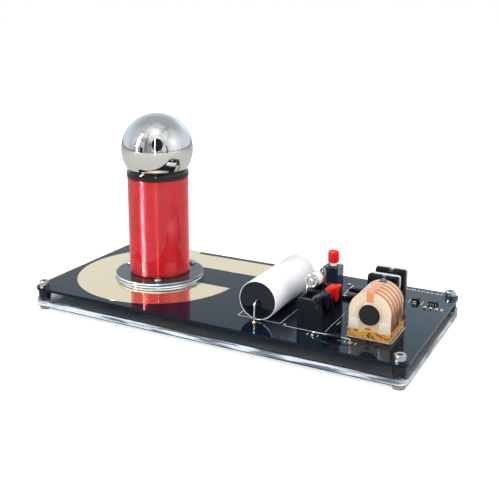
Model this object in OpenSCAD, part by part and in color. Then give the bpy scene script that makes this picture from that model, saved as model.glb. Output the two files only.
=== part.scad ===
// Desktop resonant transformer: a spark gap demonstration kit on a circuit board.
// X runs along the board's long edge, Y to the back and Z up. The origin is at the bottom
// centre, under the corner nuts that it stands on. All sizes are in millimetres.

/* [Board and base] */
// Length of the circuit board and the clear base along X
board_l = 210; // [206:1:230]
// Width of the circuit board and the clear base along Y
board_w = 98; // [98:1:112]
// Thickness of the circuit board
board_t = 1.6; // [1.2:0.2:2.4]
// Radius of the corners of the board and the base
corner_r = 4.3; // [3:0.1:6]
// Thickness of the clear base plate
base_t = 4; // [3:0.5:8]
// Height of the spacers between the base and the board
spacer_h = 5; // [4:0.5:12]
// Diameter of the spacers
spacer_d = 6.7; // [5.5:0.1:8]
// Distance from each edge to the corner screws
screw_inset = 4.3; // [3.8:0.1:6]
// Nominal thread diameter of the corner screws
screw_d = 3; // [2.5:0.5:3]
// Diameter of the corner screw heads
screw_head_d = 5.5; // [5:0.1:7]
// Height of the corner screw heads
screw_head_h = 3; // [2:0.1:4]
// Width across the flats of the corner nuts
nut_af = 5.5; // [5:0.1:7]
// Thickness of the corner nuts
nut_t = 2.4; // [2:0.1:4]

/* [Primary trace] */
// Outer radius of the open ring of bare metal on the board
trace_r = 46.8; // [42:0.1:47]
// Y of the front edge of the straight arm, from the coil's axis
arm_front = 22.4; // [18:0.1:26]
// Width of the straight arm
arm_w = 21; // [12:0.5:24]
// End of the straight arm, as a share of the strip between the ring and the right edge
arm_share = 0.329; // [0.25:0.001:0.37]
// Distance of the ring's loose end in front of the coil's axis
slot_front = 1.95; // [1:0.05:6]
// Thickness of the metal
trace_t = 0.1; // [0.05:0.01:0.2]

/* [Coil] */
// Distance of the coil's axis from the board's left edge
coil_from_left = 50; // [48:0.5:56]
// Distance of the coil's axis behind the board's middle
coil_y = 1.5; // [0:0.1:2]
// Radius of the clear disc under the coil
disc_r = 25; // [24:0.1:30]
// Thickness of the clear disc
disc_t = 3; // [2:0.1:6]
// Outer radius of the winding
winding_r = 17; // [14:0.1:17.4]
// Height of the winding
winding_h = 54; // [40:0.5:80]
// Number of modelled loops, which stand for hundreds of finer turns
winding_loops = 24; // [8:1:24]
// Diameter of one modelled loop's wire
loop_wire_d = 1.7; // [1:0.05:1.8]
// Wall of the clear tube inside the winding
tube_wall = 1.5; // [1:0.1:3]
// Distance from the coil's axis to the disc screws
disc_screw_r = 20.5; // [20:0.1:22]

/* [Top load] */
// Radius of the steel ball
ball_r = 19.8; // [18:0.1:22]
// Height of the ball's centre above the winding's top
ball_up = 15.6; // [14:0.1:17]
// Wall of the hollow ball
ball_wall = 0.6; // [0.4:0.1:2]
// Outer radius of the black seat ring
seat_r = 17.25; // [16.6:0.05:18]
// Height of the black seat ring
seat_h = 3.3; // [2.6:0.1:4]

/* [Capacitor] */
// X of the capacitor's axis, as a share of the strip between the ring and the right edge
cap_share = 0.295; // [0.28:0.001:0.32]
// Y of the capacitor's middle from the board's middle
cap_y = -9.4; // [-12:0.1:-6]
// Radius of the white sleeve
cap_r = 9.95; // [8:0.05:11]
// Length of the sleeve
cap_l = 48.5; // [40:0.5:50]
// Diameter of the two leads
cap_lead_d = 1; // [0.8:0.05:1.2]

/* [Spring terminal] */
// X of the housing's left side, as a share of the strip between the ring and the right edge
term_share = 0.478; // [0.47:0.001:0.487]
// Y of the housing's front side from the board's middle
term_y = -32.5; // [-33:0.1:-32]
// Width of the housing along X
term_w = 13; // [12.6:0.1:14]
// Length of the housing along Y, over both poles
term_l = 26.9; // [26:0.1:29]
// Height of the housing
term_h = 15; // [14:0.1:18]
// Thickness of the side walls and the wall between the poles
term_wall = 1.6; // [1.2:0.1:2]
// Thickness of the levers' pressing plates
lever_t = 1.3; // [1:0.1:1.6]

/* [Gas discharge tube] */
// Distance of the tube's axis from the terminal housing's left side
gap_from_side = 1.95; // [1.1:0.05:2.7]
// Distance of the tube's front face behind the terminal housing's front side
gap_from_front = 12.5; // [11.5:0.1:12.9]
// Height of the tube's axis above the board
gap_z = 19.6; // [19:0.1:22]
// Radius of the end electrodes
gap_r = 3.5; // [2.5:0.1:3.8]
// Length over both electrodes
gap_l = 8; // [6:0.1:9]

/* [Push switch] */
// X of the switch's axis from the terminal housing's left side
switch_from_side = -1.65; // [-3:0.05:0]
// Y of the switch's axis from the board's middle
switch_y = 18.25; // [17:0.05:19]
// Side of the square body
switch_w = 8.5; // [7:0.1:10]
// Height of the body
switch_h = 16; // [14:0.5:20]
// Diameter of the white stem
stem_d = 3.9; // [3:0.1:4.4]
// Diameter of the red cap
button_d = 5.9; // [5:0.1:8]
// Height of the red cap
button_h = 6.2; // [5:0.1:9]
// Travel of the button
button_travel = 1.8; // [1:0.1:2]

/* [Power transistors] */
// X of the transistors' left sides, as a share of the strip between the ring and the right edge
tran_share = 0.695; // [0.685:0.001:0.7]
// Y of the front transistor's front face from the board's middle
front_tran_y = -4; // [-6:0.1:-3]
// Y of the rear transistor's front face from the board's middle
rear_tran_y = 8; // [5:0.1:10]
// Width of a transistor body
tran_w = 15.2; // [14:0.1:16]
// Thickness of a transistor with its metal tab
tran_t = 5; // [4:0.1:6]
// Height of a transistor body
tran_h = 20; // [16:0.1:22]

/* [High voltage transformer] */
// X of the transformer's left side, as a share of the strip between the ring and the right edge
hv_share = 0.695; // [0.685:0.001:0.705]
// Y of the transformer's front side from the board's middle
hv_y = -29.5; // [-31:0.1:-29]
// Width of the transformer along X
hv_w = 20.8; // [19:0.1:21]
// Length of the transformer along Y
hv_l = 21.5; // [20:0.1:22]
// Radius of the black core
core_r = 4.9; // [4:0.1:6]
// Height of the core's axis above the board
core_z = 11.8; // [11:0.1:13]
// Height of the amber potting at the foot
potting_h = 4; // [3:0.1:5]

/* [Small parts] */
// Diameter of the rod rectifier
rod_d = 2.4; // [2:0.1:3]
// Length of the rod rectifier's body
rod_l = 9; // [7:0.1:12]
// Height of the flat diodes
flat_diode_h = 2.3; // [1.8:0.1:2.8]
// Height of the driver chip
chip_h = 1.5; // [1.2:0.1:2]

/* [Hidden] */
$fn = 48;

// Overrun of the cuts
cut = 0.5;
// Side gap between a screw and the hole that it passes, and between a thread and its nut
hole_gap = 0.1;
thread_gap = 0.05;
// Gap that keeps touching round pieces of the fixed body apart
glue_gap = 0.05;
// Running gap round the parts that move
run_gap = 0.05;

// Levels of the stack, from the floor up
base_z = nut_t;
spacer_z = base_z + base_t;
board_z = spacer_z + spacer_h;
top_z = board_z + board_t;

// Places given by their X from a line and their Y
function places(from, pairs) = [for (p = pairs) [from + p[0], p[1]]];

// Corner screws
screw_tip_up = 1;
socket_af = 2.5;
socket_deep = 1.6;
head_edge = 0.3;

// Coil
coil_x = coil_from_left - board_l / 2;

// X at a share of the strip between the ring and the board's right edge
ring_end = coil_x + trace_r;
function strip_x(share) = ring_end + share * (board_l / 2 - ring_end);
arm_l = strip_x(arm_share) - coil_x;
disc_top = top_z + disc_t;
trace_gap = 0.3;
winding_up = 0.7;
winding_z = disc_top + winding_up;
winding_top = winding_z + winding_h;
former_gap = 0.3;
tube_r = winding_r - loop_wire_d - former_gap;
seat_up = 0.3;
seat_z = winding_top + seat_up;
wire_hole_gap = 0.15;
loop_rings = 24;
end_bend_r = 1.3;
end_rings = 5;
wire_sides = 6;

// Screws that hold the disc, with their nuts under the board
disc_screw_angles = [-60, 60, 180];
disc_screw_d = 2;
disc_head_d = 3.8;
disc_head_h = 1.8;
disc_nut_af = 4;
disc_nut_t = 1.6;
disc_tip = 0.4;
head_dome_r = 2.3;

// Seat and ball
ball_z = winding_top + ball_up;
seat_gap = 0.05;
seat_groove_h = 0.5;
seat_groove_deep = 0.5;
skirt_h = 4;
skirt_wall = 0.7;

// Capacitor
cap_x = strip_x(cap_share);
cap_sleeve_wall = 0.4;
cap_up = 0.3;
cap_z = top_z + cap_up + cap_r;
cap_fill_t = 3.6;
cap_fill_in = 0.25;
cap_lead_run = 1.2;
cap_lead_bend = 2;
cap_lead_in = 2.4;
cap_roll_l = cap_l - 2 * (cap_fill_in + cap_fill_t + glue_gap);

// How far pins reach under the board, and the solder round them
pin_under = 1.6;
solder_h = 1;
pad_t = 0.06;
pad_ring = 0.7;

// Spring terminal
term_x = strip_x(term_share);
pole_l = (term_l - term_wall) / 2;
pole_y = [term_y + term_wall / 2 + pole_l / 2, term_y + term_wall / 2 + pole_l * 3 / 2];
term_round = 5.6;
well_x = 1.1;
well_w = 5;
well_l = 8;
well_deep = 9;
lever_side_gap = 0.35;
lever_room_l = pole_l - term_wall;
lever_w = lever_room_l - 2 * lever_side_gap;
lever_room_x = 7.7;
lever_room_z = 6.6;
pin_r = 0.8;
pivot_in = 9.9;
pivot_up = 12.4;
pivot_x = term_x + pivot_in;
pivot_z = top_z + pivot_up;
eye_r = 1.5;
plate_from = 8.2;
plate_to = 14.5;
plate_up = 0.3;
tongue_t = 1.6;
tongue_low = 6.2;
clip_t = 0.5;
clip_edge = 0.1;
clip_up = 5;
contact_plate_l = 3;
pin_short = 0.3;
clip_w = 5;
contact_pin_w = 1;
contact_pin_x = [3.2, 9.4];

// Gas discharge tube
gap_x = term_x + gap_from_side;
gap_y = term_y + gap_from_front;
electrode_t = 1.5;
ceramic_in = 0.15;
gap_lead_d = 0.8;
gap_lead_bend = 1.6;
gap_lead_down = 4;
gap_z0 = top_z + gap_z;
gap_bore_r = 2;
// The rear lead's hook, as shares of its size, from the electrode over and down into the well
hook_size = 2.3;
hook_sides = 8;
hook_shares = [
    [0, 0, 0], [0, 0.2, 0], [0.02, 0.42, 0.05], [0.08, 0.58, 0.25], [0.2, 0.64, 0.6],
    [0.34, 0.66, 1], [0.5, 0.66, 1.5], [0.7, 0.66, 1.9], [0.95, 0.66, 2.05],
    [1.2, 0.66, 1.85], [1.36, 0.66, 1.4], [1.44, 0.65, 0.8], [1.48, 0.63, 0],
    [1.48, 0.6, -1], [1.48, 0.6, -2], [1.48, 0.6, -3.6]
];
dimple_r = 0.9;
ring_groove = [1.5, 2.4];
groove_deep = 0.35;

// Push switch
switch_x = term_x + switch_from_side;
cap_clear = 0.4;
button_z = top_z + switch_h + button_travel + cap_clear;
stem_in = 5;
stem_top_wall = 1.2;
spring_r = 1.5;
spring_wire = 0.4;
contact_h = 1.2;
switch_pin_d = 0.8;
switch_pin_pitch = 2.5;
switch_floor = 3;
button_edge = 0.8;
spring_z = top_z + switch_floor + contact_h;
spring_top = top_z + switch_h - stem_in;

// Transistors
tran_x = strip_x(tran_share);
tab_t = 2;
tab_over = 0.6;
tab_side = 0.5;
tran_up = 2;
notch_w = 2.6;
notch_deep = 1.4;
leg_w = 1.2;
leg_t = 0.6;
leg_pitch = 5.45;
leg_back = 2.4;

// Transformer
hv_x = strip_x(hv_share);
flange_count = 6;
flange_t = 1;
hv_side = 0.25;
hub_wall = 1.3;
core_gap = 0.1;
core_out = 0.5;
winding_in = 0.9;
tape_w = 3.4;
tape_t = 0.15;
tape_down = 4.6;
tape_share = 0.72;
hv_edge = 0.3;
back_plate_t = 0.8;
arch_up = 0.8;
hv_body_l = hv_l - 2 * hv_edge - back_plate_t - glue_gap;
flange_pitch = (hv_body_l - flange_t) / (flange_count - 1);
arch_r = hv_w / 2 - hv_side;
arch_z = core_z + arch_up;
hub_r = core_r + core_gap + hub_wall;
hv_pin_d = 0.9;
hv_pin_inset = 3;

// Rod rectifier
rod_y = -37.3;
rod_pins = [-14.3, 4.4];
rod_x = [for (x = rod_pins) hv_x + x];
rod_z = 1.7;
rod_left = -4.5;
rod_mid = hv_x + rod_left;
rod_lead_d = 0.7;
rod_bend = 0.9;

// Flat parts: length along X and width along Y, and their places from the terminal housing's
// left side or from the board's right edge
protection_places = [[8.3, 27.5], [8.7, 17.3]];
protection_at = places(term_x, protection_places);
protection_size = [6.8, 6];
protection_lead = [1.3, 3];
small_diode_places = [[-18, 27.5]];
small_diode_at = places(board_l / 2, small_diode_places)[0];
small_diode_size = [3.6, 4.3];
small_diode_lead = [2, 1];
driver_places = [[-9.3, 29]];
driver_at = places(board_l / 2, driver_places)[0];
driver_size = [5, 3.9];
driver_pitch = 1.27;
driver_leg = [0.42, 1.05];
leg_sheet = 0.2;
flat_up = 0.1;
chip_row = [[-11.5, 21.5], [-8.6, 21.5], [-5.7, 21.5], [-3, 21.5]];
lone_chip = [[1.3, 35.8]];
chip_at = concat(places(term_x, lone_chip), places(board_l / 2, chip_row));
chip_size = [1.25, 2];
chip_t = 0.55;
chip_end = 0.4;

// Printed lines
line_w = 0.35;
line_t = 0.05;
frame_side = 1.7;
frame_end = 1.65;
term_frame = [6.7, 1];
mark_dot_r = 0.6;
rod_dash = [2.6, 0.9];
diode_bar = [3.4, 2.6];
pad_edge = 0.15;
solder_foot = 0.15;
solder_wide = 0.45;

// Holes for through pins: X, Y and the pin's radius
pin_holes = concat(
    [for (s = [-1, 1]) [cap_x, cap_pin_y(s), cap_lead_d / 2]],
    [for (p = pole_y, x = contact_pin_x) [term_x + x, p, contact_pin_w / 2]],
    [for (p = switch_pin_places()) [p[0], p[1], switch_pin_d / 2]],
    [for (y = [front_tran_y, rear_tran_y], k = [-1 : 1]) [leg_x(k), y + leg_back, leg_w / 2]],
    [for (p = hv_pin_places()) [p[0], p[1], hv_pin_d / 2]],
    [for (x = rod_x) [x, rod_y, rod_lead_d / 2]]
);

function cap_pin_y(s) = cap_y + s * (cap_l / 2 + cap_lead_run + cap_lead_bend - cap_fill_in);
function leg_x(k) = tran_x + tran_w / 2 + k * leg_pitch;
function switch_pin_places() =
    [for (sx = [-1, 1], k = [-1 : 1])
        [switch_x + sx * switch_pin_pitch, switch_y + k * switch_pin_pitch]];
function hv_pin_places() =
    [for (x = [hv_x + hv_pin_inset, hv_x + hv_w - hv_pin_inset],
          y = [hv_y + hv_pin_inset, hv_y + hv_l - hv_pin_inset]) [x, y]];
function unit(v) = v / norm(v);

// Repeats its children at the four corner screws
module at_corners() {
    for (sx = [-1, 1], sy = [-1, 1])
        translate([sx * (board_l / 2 - screw_inset), sy * (board_w / 2 - screw_inset), 0])
            children();
}

// Repeats its children at the screws of the clear disc
module at_disc_screws() {
    for (a = disc_screw_angles)
        translate([coil_x, coil_y, 0]) rotate([0, 0, a]) translate([disc_screw_r, 0, 0])
            children();
}

// A rectangle with round corners, of true arcs
module rounded_rect(l, w, r) {
    square([l - 2 * r, w], center = true);
    square([l, w - 2 * r], center = true);
    for (sx = [-1, 1], sy = [-1, 1])
        translate([sx * (l / 2 - r), sy * (w / 2 - r)]) circle(r = r);
}

// A ring of round section cut through by a bore
module bush(h, r_out, r_in) {
    difference() {
        cylinder(h = h, r = r_out);
        translate([0, 0, -cut]) cylinder(h = h + 2 * cut, r = r_in);
    }
}

// A round lead that runs along -Y, turns down and drops along -Z
module bent_lead(run, drop, bend_r, wire_r) {
    rotate([90, 0, 0]) cylinder(h = run, r = wire_r);
    translate([0, -run, -bend_r]) rotate(180, [1, 0, 1])
        rotate_extrude(angle = 90) translate([bend_r, 0]) circle(r = wire_r);
    translate([0, -run - bend_r, -bend_r - drop]) cylinder(h = drop, r = wire_r);
}

// One unbroken tube swept along a list of points, with its frame carried from point to point
module swept_tube(path, r, sides) {
    n = len(path);
    tangents = [for (i = [0 : n - 1]) unit(path[min(i + 1, n - 1)] - path[max(i - 1, 0)])];
    start = unit(cross(tangents[0], [0, 0, 1]) + cross(tangents[0], [0, 1, 0]));
    sides_to = [for (i = 0, u = start; i < n;
                     i = i + 1,
                     u = i < n ? unit(u - tangents[i] * (u * tangents[i])) : u) u];
    rings = [for (i = [0 : n - 1], k = [0 : sides - 1])
        let (a = 360 * k / sides, u = sides_to[i], v = cross(tangents[i], u))
        path[i] + r * (cos(a) * u + sin(a) * v)];
    walls = [for (i = [0 : n - 2], k = [0 : sides - 1], half = [0, 1])
        let (a = i * sides + k, b = i * sides + (k + 1) % sides)
        half == 0 ? [a, a + sides, b] : [b, a + sides, b + sides]];
    first_end = [for (k = [1 : sides - 2]) [0, k, k + 1]];
    last_end = [for (k = [1 : sides - 2])
        [(n - 1) * sides, (n - 1) * sides + k + 1, (n - 1) * sides + k]];
    polyhedron(points = rings, faces = concat(walls, first_end, last_end));
}

// Clear base plate under the board
module base_plate() {
    color([0.86, 0.92, 0.95, 0.5]) difference() {
        translate([0, 0, base_z]) linear_extrude(base_t) rounded_rect(board_l, board_w, corner_r);
        at_corners() translate([0, 0, base_z - cut])
            cylinder(h = base_t + 2 * cut, r = screw_d / 2 + hole_gap);
    }
}

// Black circuit board with its screw and pin holes
module circuit_board() {
    color([0.05, 0.06, 0.08]) difference() {
        translate([0, 0, board_z]) linear_extrude(board_t)
            rounded_rect(board_l, board_w, corner_r);
        at_corners() board_hole(screw_d / 2);
        at_disc_screws() board_hole(disc_screw_d / 2);
        for (p = pin_holes) translate([p[0], p[1], 0]) board_hole(p[2]);
    }
}

// A hole through the board with room round a pin of the given radius
module board_hole(r) {
    translate([0, 0, board_z - cut]) cylinder(h = board_t + 2 * cut, r = r + hole_gap);
}

// Open ring and straight arm of bare metal, one flat turn
module primary_trace() {
    color([0.88, 0.82, 0.7]) translate([coil_x, coil_y, top_z]) linear_extrude(trace_t)
        difference() {
            union() {
                difference() {
                    circle(r = trace_r);
                    translate([0, -slot_front])
                        square([trace_r + cut, slot_front + arm_front + cut]);
                    translate([0, arm_front]) square([trace_r + cut, trace_r]);
                }
                translate([-cut, arm_front]) square([arm_l + cut, arm_w]);
            }
            circle(r = disc_r + trace_gap);
        }
}

// White printed outlines round the larger parts
module board_markings() {
    color([0.9, 0.92, 0.93]) translate([0, 0, top_z]) {
        outline([cap_x - cap_r - frame_side, cap_y - cap_l / 2 + frame_end],
                [cap_x + cap_r + frame_side, cap_y + cap_l / 2 - frame_end]);
        line([term_x - term_frame[0], term_y - term_frame[1]],
             [term_x + term_w + term_frame[1], term_y - term_frame[1]]);
        line([term_x + term_w + term_frame[1], term_y - term_frame[1]],
             [term_x + term_w + term_frame[1], term_y + term_l + term_frame[1]]);
        translate([term_x - term_frame[0], term_y + term_frame[1]])
            cylinder(h = line_t, r = mark_dot_r);
        for (x = rod_x, s = [-1, 1])
            line([x + s * rod_dash[0], rod_y - rod_dash[1]],
                 [x + s * rod_dash[0], rod_y + rod_dash[1]]);
        line([hv_x, hv_y - line_w - line_w], [hv_x + hv_w, hv_y - line_w - line_w]);
        line([hv_x + hv_w + line_w + line_w, hv_y],
             [hv_x + hv_w + line_w + line_w, hv_y + hv_l]);
        for (s = [-1, 1])
            line([small_diode_at[0] + s * diode_bar[0], small_diode_at[1] - diode_bar[1]],
                 [small_diode_at[0] + s * diode_bar[0], small_diode_at[1] + diode_bar[1]]);
    }
}

// One straight printed line between two corners that share an X or a Y
module line(a, b) {
    translate([min(a[0], b[0]) - line_w / 2, min(a[1], b[1]) - line_w / 2, 0])
        cube([abs(a[0] - b[0]) + line_w, abs(a[1] - b[1]) + line_w, line_t]);
}

// A printed rectangle given by two opposite corners
module outline(a, b) {
    line(a, [b[0], a[1]]);
    line([b[0], a[1]], b);
    line(b, [a[0], b[1]]);
    line([a[0], b[1]], a);
}

// Bare metal pads under the leads that show from above
module solder_pads() {
    color([0.85, 0.72, 0.42]) translate([0, 0, top_z]) {
        for (s = [-1, 1]) translate([cap_x, cap_pin_y(s), 0])
            bush(pad_t, cap_lead_d / 2 + hole_gap + pad_ring, cap_lead_d / 2 + hole_gap);
        for (x = rod_x) translate([x, rod_y, 0])
            bush(pad_t, rod_lead_d / 2 + hole_gap + pad_ring, rod_lead_d / 2 + hole_gap);
        for (y = [front_tran_y, rear_tran_y], k = [-1 : 1]) translate([leg_x(k), y + leg_back, 0])
            bush(pad_t, leg_w / 2 + hole_gap + pad_ring, leg_w / 2 + hole_gap);
        for (p = protection_at, s = [-1, 1])
            pad(p + [s * (protection_size[0] + protection_lead[0]) / 2, 0], protection_lead);
        for (s = [-1, 1])
            pad(small_diode_at + [0, s * (small_diode_size[1] + small_diode_lead[1]) / 2],
                small_diode_lead);
        for (k = [0 : 3], s = [-1, 1])
            pad(driver_at + [driver_leg_x(k), s * (driver_size[1] + driver_leg[1]) / 2],
                driver_leg);
        for (p = chip_at, s = [-1, 1])
            pad(p + [0, s * (chip_size[1] - chip_end) / 2], [chip_size[0], chip_end]);
    }
}

// A flat pad a little larger than the foot that it carries
module pad(at, foot) {
    translate([at[0] - foot[0] / 2 - pad_edge, at[1] - foot[1] / 2 - pad_edge, 0])
        cube([foot[0] + 2 * pad_edge, foot[1] + 2 * pad_edge, pad_t]);
}

function driver_leg_x(k) = (k - 3 / 2) * driver_pitch;

// Cones of solder round the pins under the board
module solder_joints() {
    color([0.75, 0.76, 0.78]) for (p = pin_holes)
        translate([p[0], p[1], board_z - solder_h]) difference() {
            cylinder(h = solder_h, r1 = p[2] + solder_foot, r2 = p[2] + solder_foot + solder_wide);
            translate([0, 0, -cut]) cylinder(h = solder_h + 2 * cut, r = p[2] + glue_gap);
        }
}

// Socket head screws at the four corners
module corner_screws() {
    color([0.78, 0.79, 0.81]) at_corners() {
        translate([0, 0, screw_tip_up])
            cylinder(h = top_z - screw_tip_up, r = screw_d / 2 - thread_gap);
        translate([0, 0, top_z]) difference() {
            union() {
                cylinder(h = screw_head_h - head_edge, r = screw_head_d / 2);
                translate([0, 0, screw_head_h - head_edge])
                    cylinder(h = head_edge, r1 = screw_head_d / 2,
                             r2 = screw_head_d / 2 - head_edge);
            }
            translate([0, 0, screw_head_h - socket_deep])
                cylinder(h = socket_deep + cut, r = socket_af / sqrt(3), $fn = 6);
        }
    }
}

// Black round spacers between the base and the board
module corner_spacers() {
    color([0.06, 0.06, 0.06]) at_corners() translate([0, 0, spacer_z])
        bush(spacer_h, spacer_d / 2, screw_d / 2 + hole_gap);
}

// Hexagon nuts under the base, which the whole kit stands on
module corner_nuts() {
    color([0.75, 0.76, 0.78]) at_corners() difference() {
        cylinder(h = nut_t, r = nut_af / sqrt(3), $fn = 6);
        translate([0, 0, -cut]) cylinder(h = nut_t + 2 * cut, r = screw_d / 2);
    }
}

// Clear disc that carries the coil
module coil_base_disc() {
    color([0.9, 0.94, 0.96, 0.5]) difference() {
        translate([coil_x, coil_y, top_z]) cylinder(h = disc_t, r = disc_r);
        at_disc_screws() translate([0, 0, top_z - cut])
            cylinder(h = disc_t + 2 * cut, r = disc_screw_d / 2 + hole_gap);
    }
}

// Three round head screws through the disc and the board
module disc_screws() {
    color([0.85, 0.86, 0.88]) at_disc_screws() {
        translate([0, 0, board_z - disc_nut_t - disc_tip])
            cylinder(h = disc_top - board_z + disc_nut_t + disc_tip,
                     r = disc_screw_d / 2 - thread_gap);
        translate([0, 0, disc_top]) rotate_extrude() intersection() {
            square([disc_head_d, disc_head_h]);
            translate([0, disc_head_h - head_dome_r]) circle(r = head_dome_r);
            square([disc_head_d / 2, disc_head_h]);
        }
    }
}

// Small nuts of the disc's screws, under the board
module disc_nuts() {
    color([0.75, 0.76, 0.78]) at_disc_screws() translate([0, 0, board_z - disc_nut_t])
        difference() {
            cylinder(h = disc_nut_t, r = disc_nut_af / sqrt(3), $fn = 6);
            translate([0, 0, -cut]) cylinder(h = disc_nut_t + 2 * cut, r = disc_screw_d / 2);
        }
}

// Clear tube that the coil is wound on, with a hole for each wire end
module coil_tube() {
    color([0.92, 0.95, 0.96, 0.5]) translate([coil_x, coil_y, 0]) difference() {
        translate([0, 0, disc_top]) bush(seat_z - disc_top, tube_r, tube_r - tube_wall);
        for (end = [0, 1]) translate([0, 0, wire_end_z(end)])
            rotate([0, 90, wire_end_angle(end)])
                cylinder(h = winding_r, r = loop_wire_d / 2 + wire_hole_gap);
    }
}

// Helix radius, pitch and the places where its ends turn in through the tube's wall
loop_r = winding_r - loop_wire_d / 2;
loop_pitch = (winding_h - loop_wire_d) / winding_loops;
end_turn = acos(-end_bend_r / (loop_r - end_bend_r));
end_shift = atan2(end_bend_r * sin(end_turn), loop_r - end_bend_r + end_bend_r * cos(end_turn));
end_wall_r = tube_r - tube_wall / 2;
function wire_end_z(end) = end == 0 ? winding_z + loop_wire_d / 2 : winding_top - loop_wire_d / 2;
function wire_end_angle(end) = end == 0 ? -end_shift : end_shift;
function helix_point(i) =
    [loop_r * cos(360 * i / loop_rings), loop_r * sin(360 * i / loop_rings),
     winding_z + loop_wire_d / 2 + loop_pitch * i / loop_rings];
// Inward bend in the level of one end: share 0 is on the helix and share 1 points at the axis
function bend_point(side, z, share) =
    let (a = end_turn * share)
    [loop_r - end_bend_r + end_bend_r * cos(a), side * end_bend_r * sin(a), z];
function straight_point(side, z, r) =
    [r * cos(end_shift), side * r * sin(end_shift), z];
function winding_path() = concat(
    [straight_point(-1, wire_end_z(0), tube_r - tube_wall),
     straight_point(-1, wire_end_z(0), end_wall_r)],
    [for (k = [end_rings : -1 : 1]) bend_point(-1, wire_end_z(0), k / end_rings)],
    [for (i = [0 : winding_loops * loop_rings]) helix_point(i)],
    [for (k = [1 : end_rings]) bend_point(1, wire_end_z(1), k / end_rings)],
    [straight_point(1, wire_end_z(1), end_wall_r),
     straight_point(1, wire_end_z(1), tube_r - tube_wall)]);

// Red enamelled winding: one unbroken tube from the bottom of the clear tube to its top
module secondary_winding() {
    path = winding_path();
    near = [for (i = [0 : len(path) - 1])
        for (j = [i + loop_rings / 2 : min(i + 2 * loop_rings, len(path) - 1)])
            norm(path[i] - path[j])];
    echo(winding_least_gap = min(near) - loop_wire_d);
    color([0.78, 0.08, 0.1]) translate([coil_x, coil_y, 0])
        swept_tube(path, loop_wire_d / 2, wire_sides);
}

// Black ring between the winding and the ball, with a skirt inside the tube
module top_seat() {
    color([0.05, 0.05, 0.05]) translate([coil_x, coil_y, 0]) difference() {
        union() {
            translate([0, 0, seat_z]) bush(seat_h, seat_r, ball_r / 3);
            translate([0, 0, seat_z - skirt_h])
                bush(skirt_h + cut, tube_r - tube_wall - hole_gap,
                     tube_r - tube_wall - hole_gap - skirt_wall);
        }
        translate([0, 0, ball_z]) sphere(r = ball_r + seat_gap);
        translate([0, 0, seat_z + seat_h / 2 - seat_groove_h / 2])
            bush(seat_groove_h, seat_r + cut, seat_r - seat_groove_deep);
    }
}

// Polished hollow steel ball
module discharge_ball() {
    color([0.72, 0.73, 0.75]) translate([coil_x, coil_y, ball_z]) difference() {
        sphere(r = ball_r);
        sphere(r = ball_r - ball_wall);
    }
}

// White plastic sleeve of the capacitor, open at both ends
module capacitor_sleeve() {
    color([0.95, 0.95, 0.95]) translate([cap_x, cap_y + cap_l / 2, cap_z]) rotate([90, 0, 0])
        bush(cap_l, cap_r, cap_r - cap_sleeve_wall);
}

// Wound film inside the sleeve
module capacitor_roll() {
    color([0.6, 0.62, 0.65]) translate([cap_x, cap_y + cap_roll_l / 2, cap_z])
        rotate([90, 0, 0]) cylinder(h = cap_roll_l, r = cap_r - cap_sleeve_wall - glue_gap);
}

// Black resin at both ends of the capacitor, with a hole for each lead
module capacitor_end_fill() {
    color([0.06, 0.06, 0.07]) for (s = [-1, 1])
        translate([cap_x, cap_y + s * (cap_l / 2 - cap_fill_in - cap_fill_t / 2), cap_z])
            rotate([90, 0, 0]) translate([0, 0, -cap_fill_t / 2])
                bush(cap_fill_t, cap_r - cap_sleeve_wall - glue_gap, cap_lead_d / 2 + glue_gap);
}

// Tinned leads out of both ends, bent down through the board
module capacitor_leads() {
    color([0.8, 0.8, 0.8]) for (s = [0, 1])
        translate([cap_x, cap_y, cap_z]) rotate([0, 0, 180 * s])
            translate([0, -cap_l / 2 + cap_fill_in + cap_lead_in, 0])
                bent_lead(cap_lead_in + cap_lead_run,
                          cap_z - cap_lead_bend - board_z + pin_under,
                          cap_lead_bend, cap_lead_d / 2);
}

// Side outline of the terminal housing: a flat top that rounds off towards the levers
module terminal_side() {
    square([term_w, term_h - term_round]);
    square([term_w - term_round, term_h]);
    translate([term_w - term_round, term_h - term_round]) circle(r = term_round);
}

// Black housing of two poles, each with a wire well and room for its lever
module terminal_housing() {
    color([0.07, 0.07, 0.08]) difference() {
        translate([term_x, term_y + term_l, top_z]) rotate([90, 0, 0])
            linear_extrude(term_l) terminal_side();
        for (y = pole_y) translate([term_x, y, top_z]) {
            translate([well_x, -well_l / 2, term_h - well_deep])
                cube([well_w, well_l, well_deep + cut]);
            translate([lever_room_x, -lever_room_l / 2, lever_room_z])
                cube([term_w, lever_room_l, term_h]);
            for (x = contact_pin_x) translate([x, 0, -cut])
                cylinder(h = term_h, r = contact_pin_w / 2 + glue_gap);
        }
        translate([pivot_x, term_y - cut, pivot_z]) rotate([-90, 0, 0])
            cylinder(h = term_l + 2 * cut, r = pin_r + thread_gap);
    }
}

// Copper clips in the wells, the plates under the levers and the pins through the board
module terminal_contacts() {
    color([0.72, 0.45, 0.3]) for (y = pole_y) translate([term_x, y, top_z]) {
        translate([well_x + clip_edge, -clip_w / 2, term_h - well_deep])
            cube([well_w - 2 * clip_edge, clip_w, clip_t]);
        translate([well_x + well_w - clip_edge - clip_t, -clip_w / 2, term_h - well_deep])
            cube([clip_t, clip_w, clip_up]);
        translate([lever_room_x + clip_edge, -clip_w / 2, lever_room_z])
            cube([contact_plate_l, clip_w, clip_t]);
        translate([contact_pin_x[0], 0, -board_t - pin_under])
            cylinder(h = board_t + pin_under + term_h - well_deep, r = contact_pin_w / 2);
        translate([contact_pin_x[1], 0, -board_t - pin_under])
            cylinder(h = board_t + pin_under + lever_room_z, r = contact_pin_w / 2);
    }
}

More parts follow.
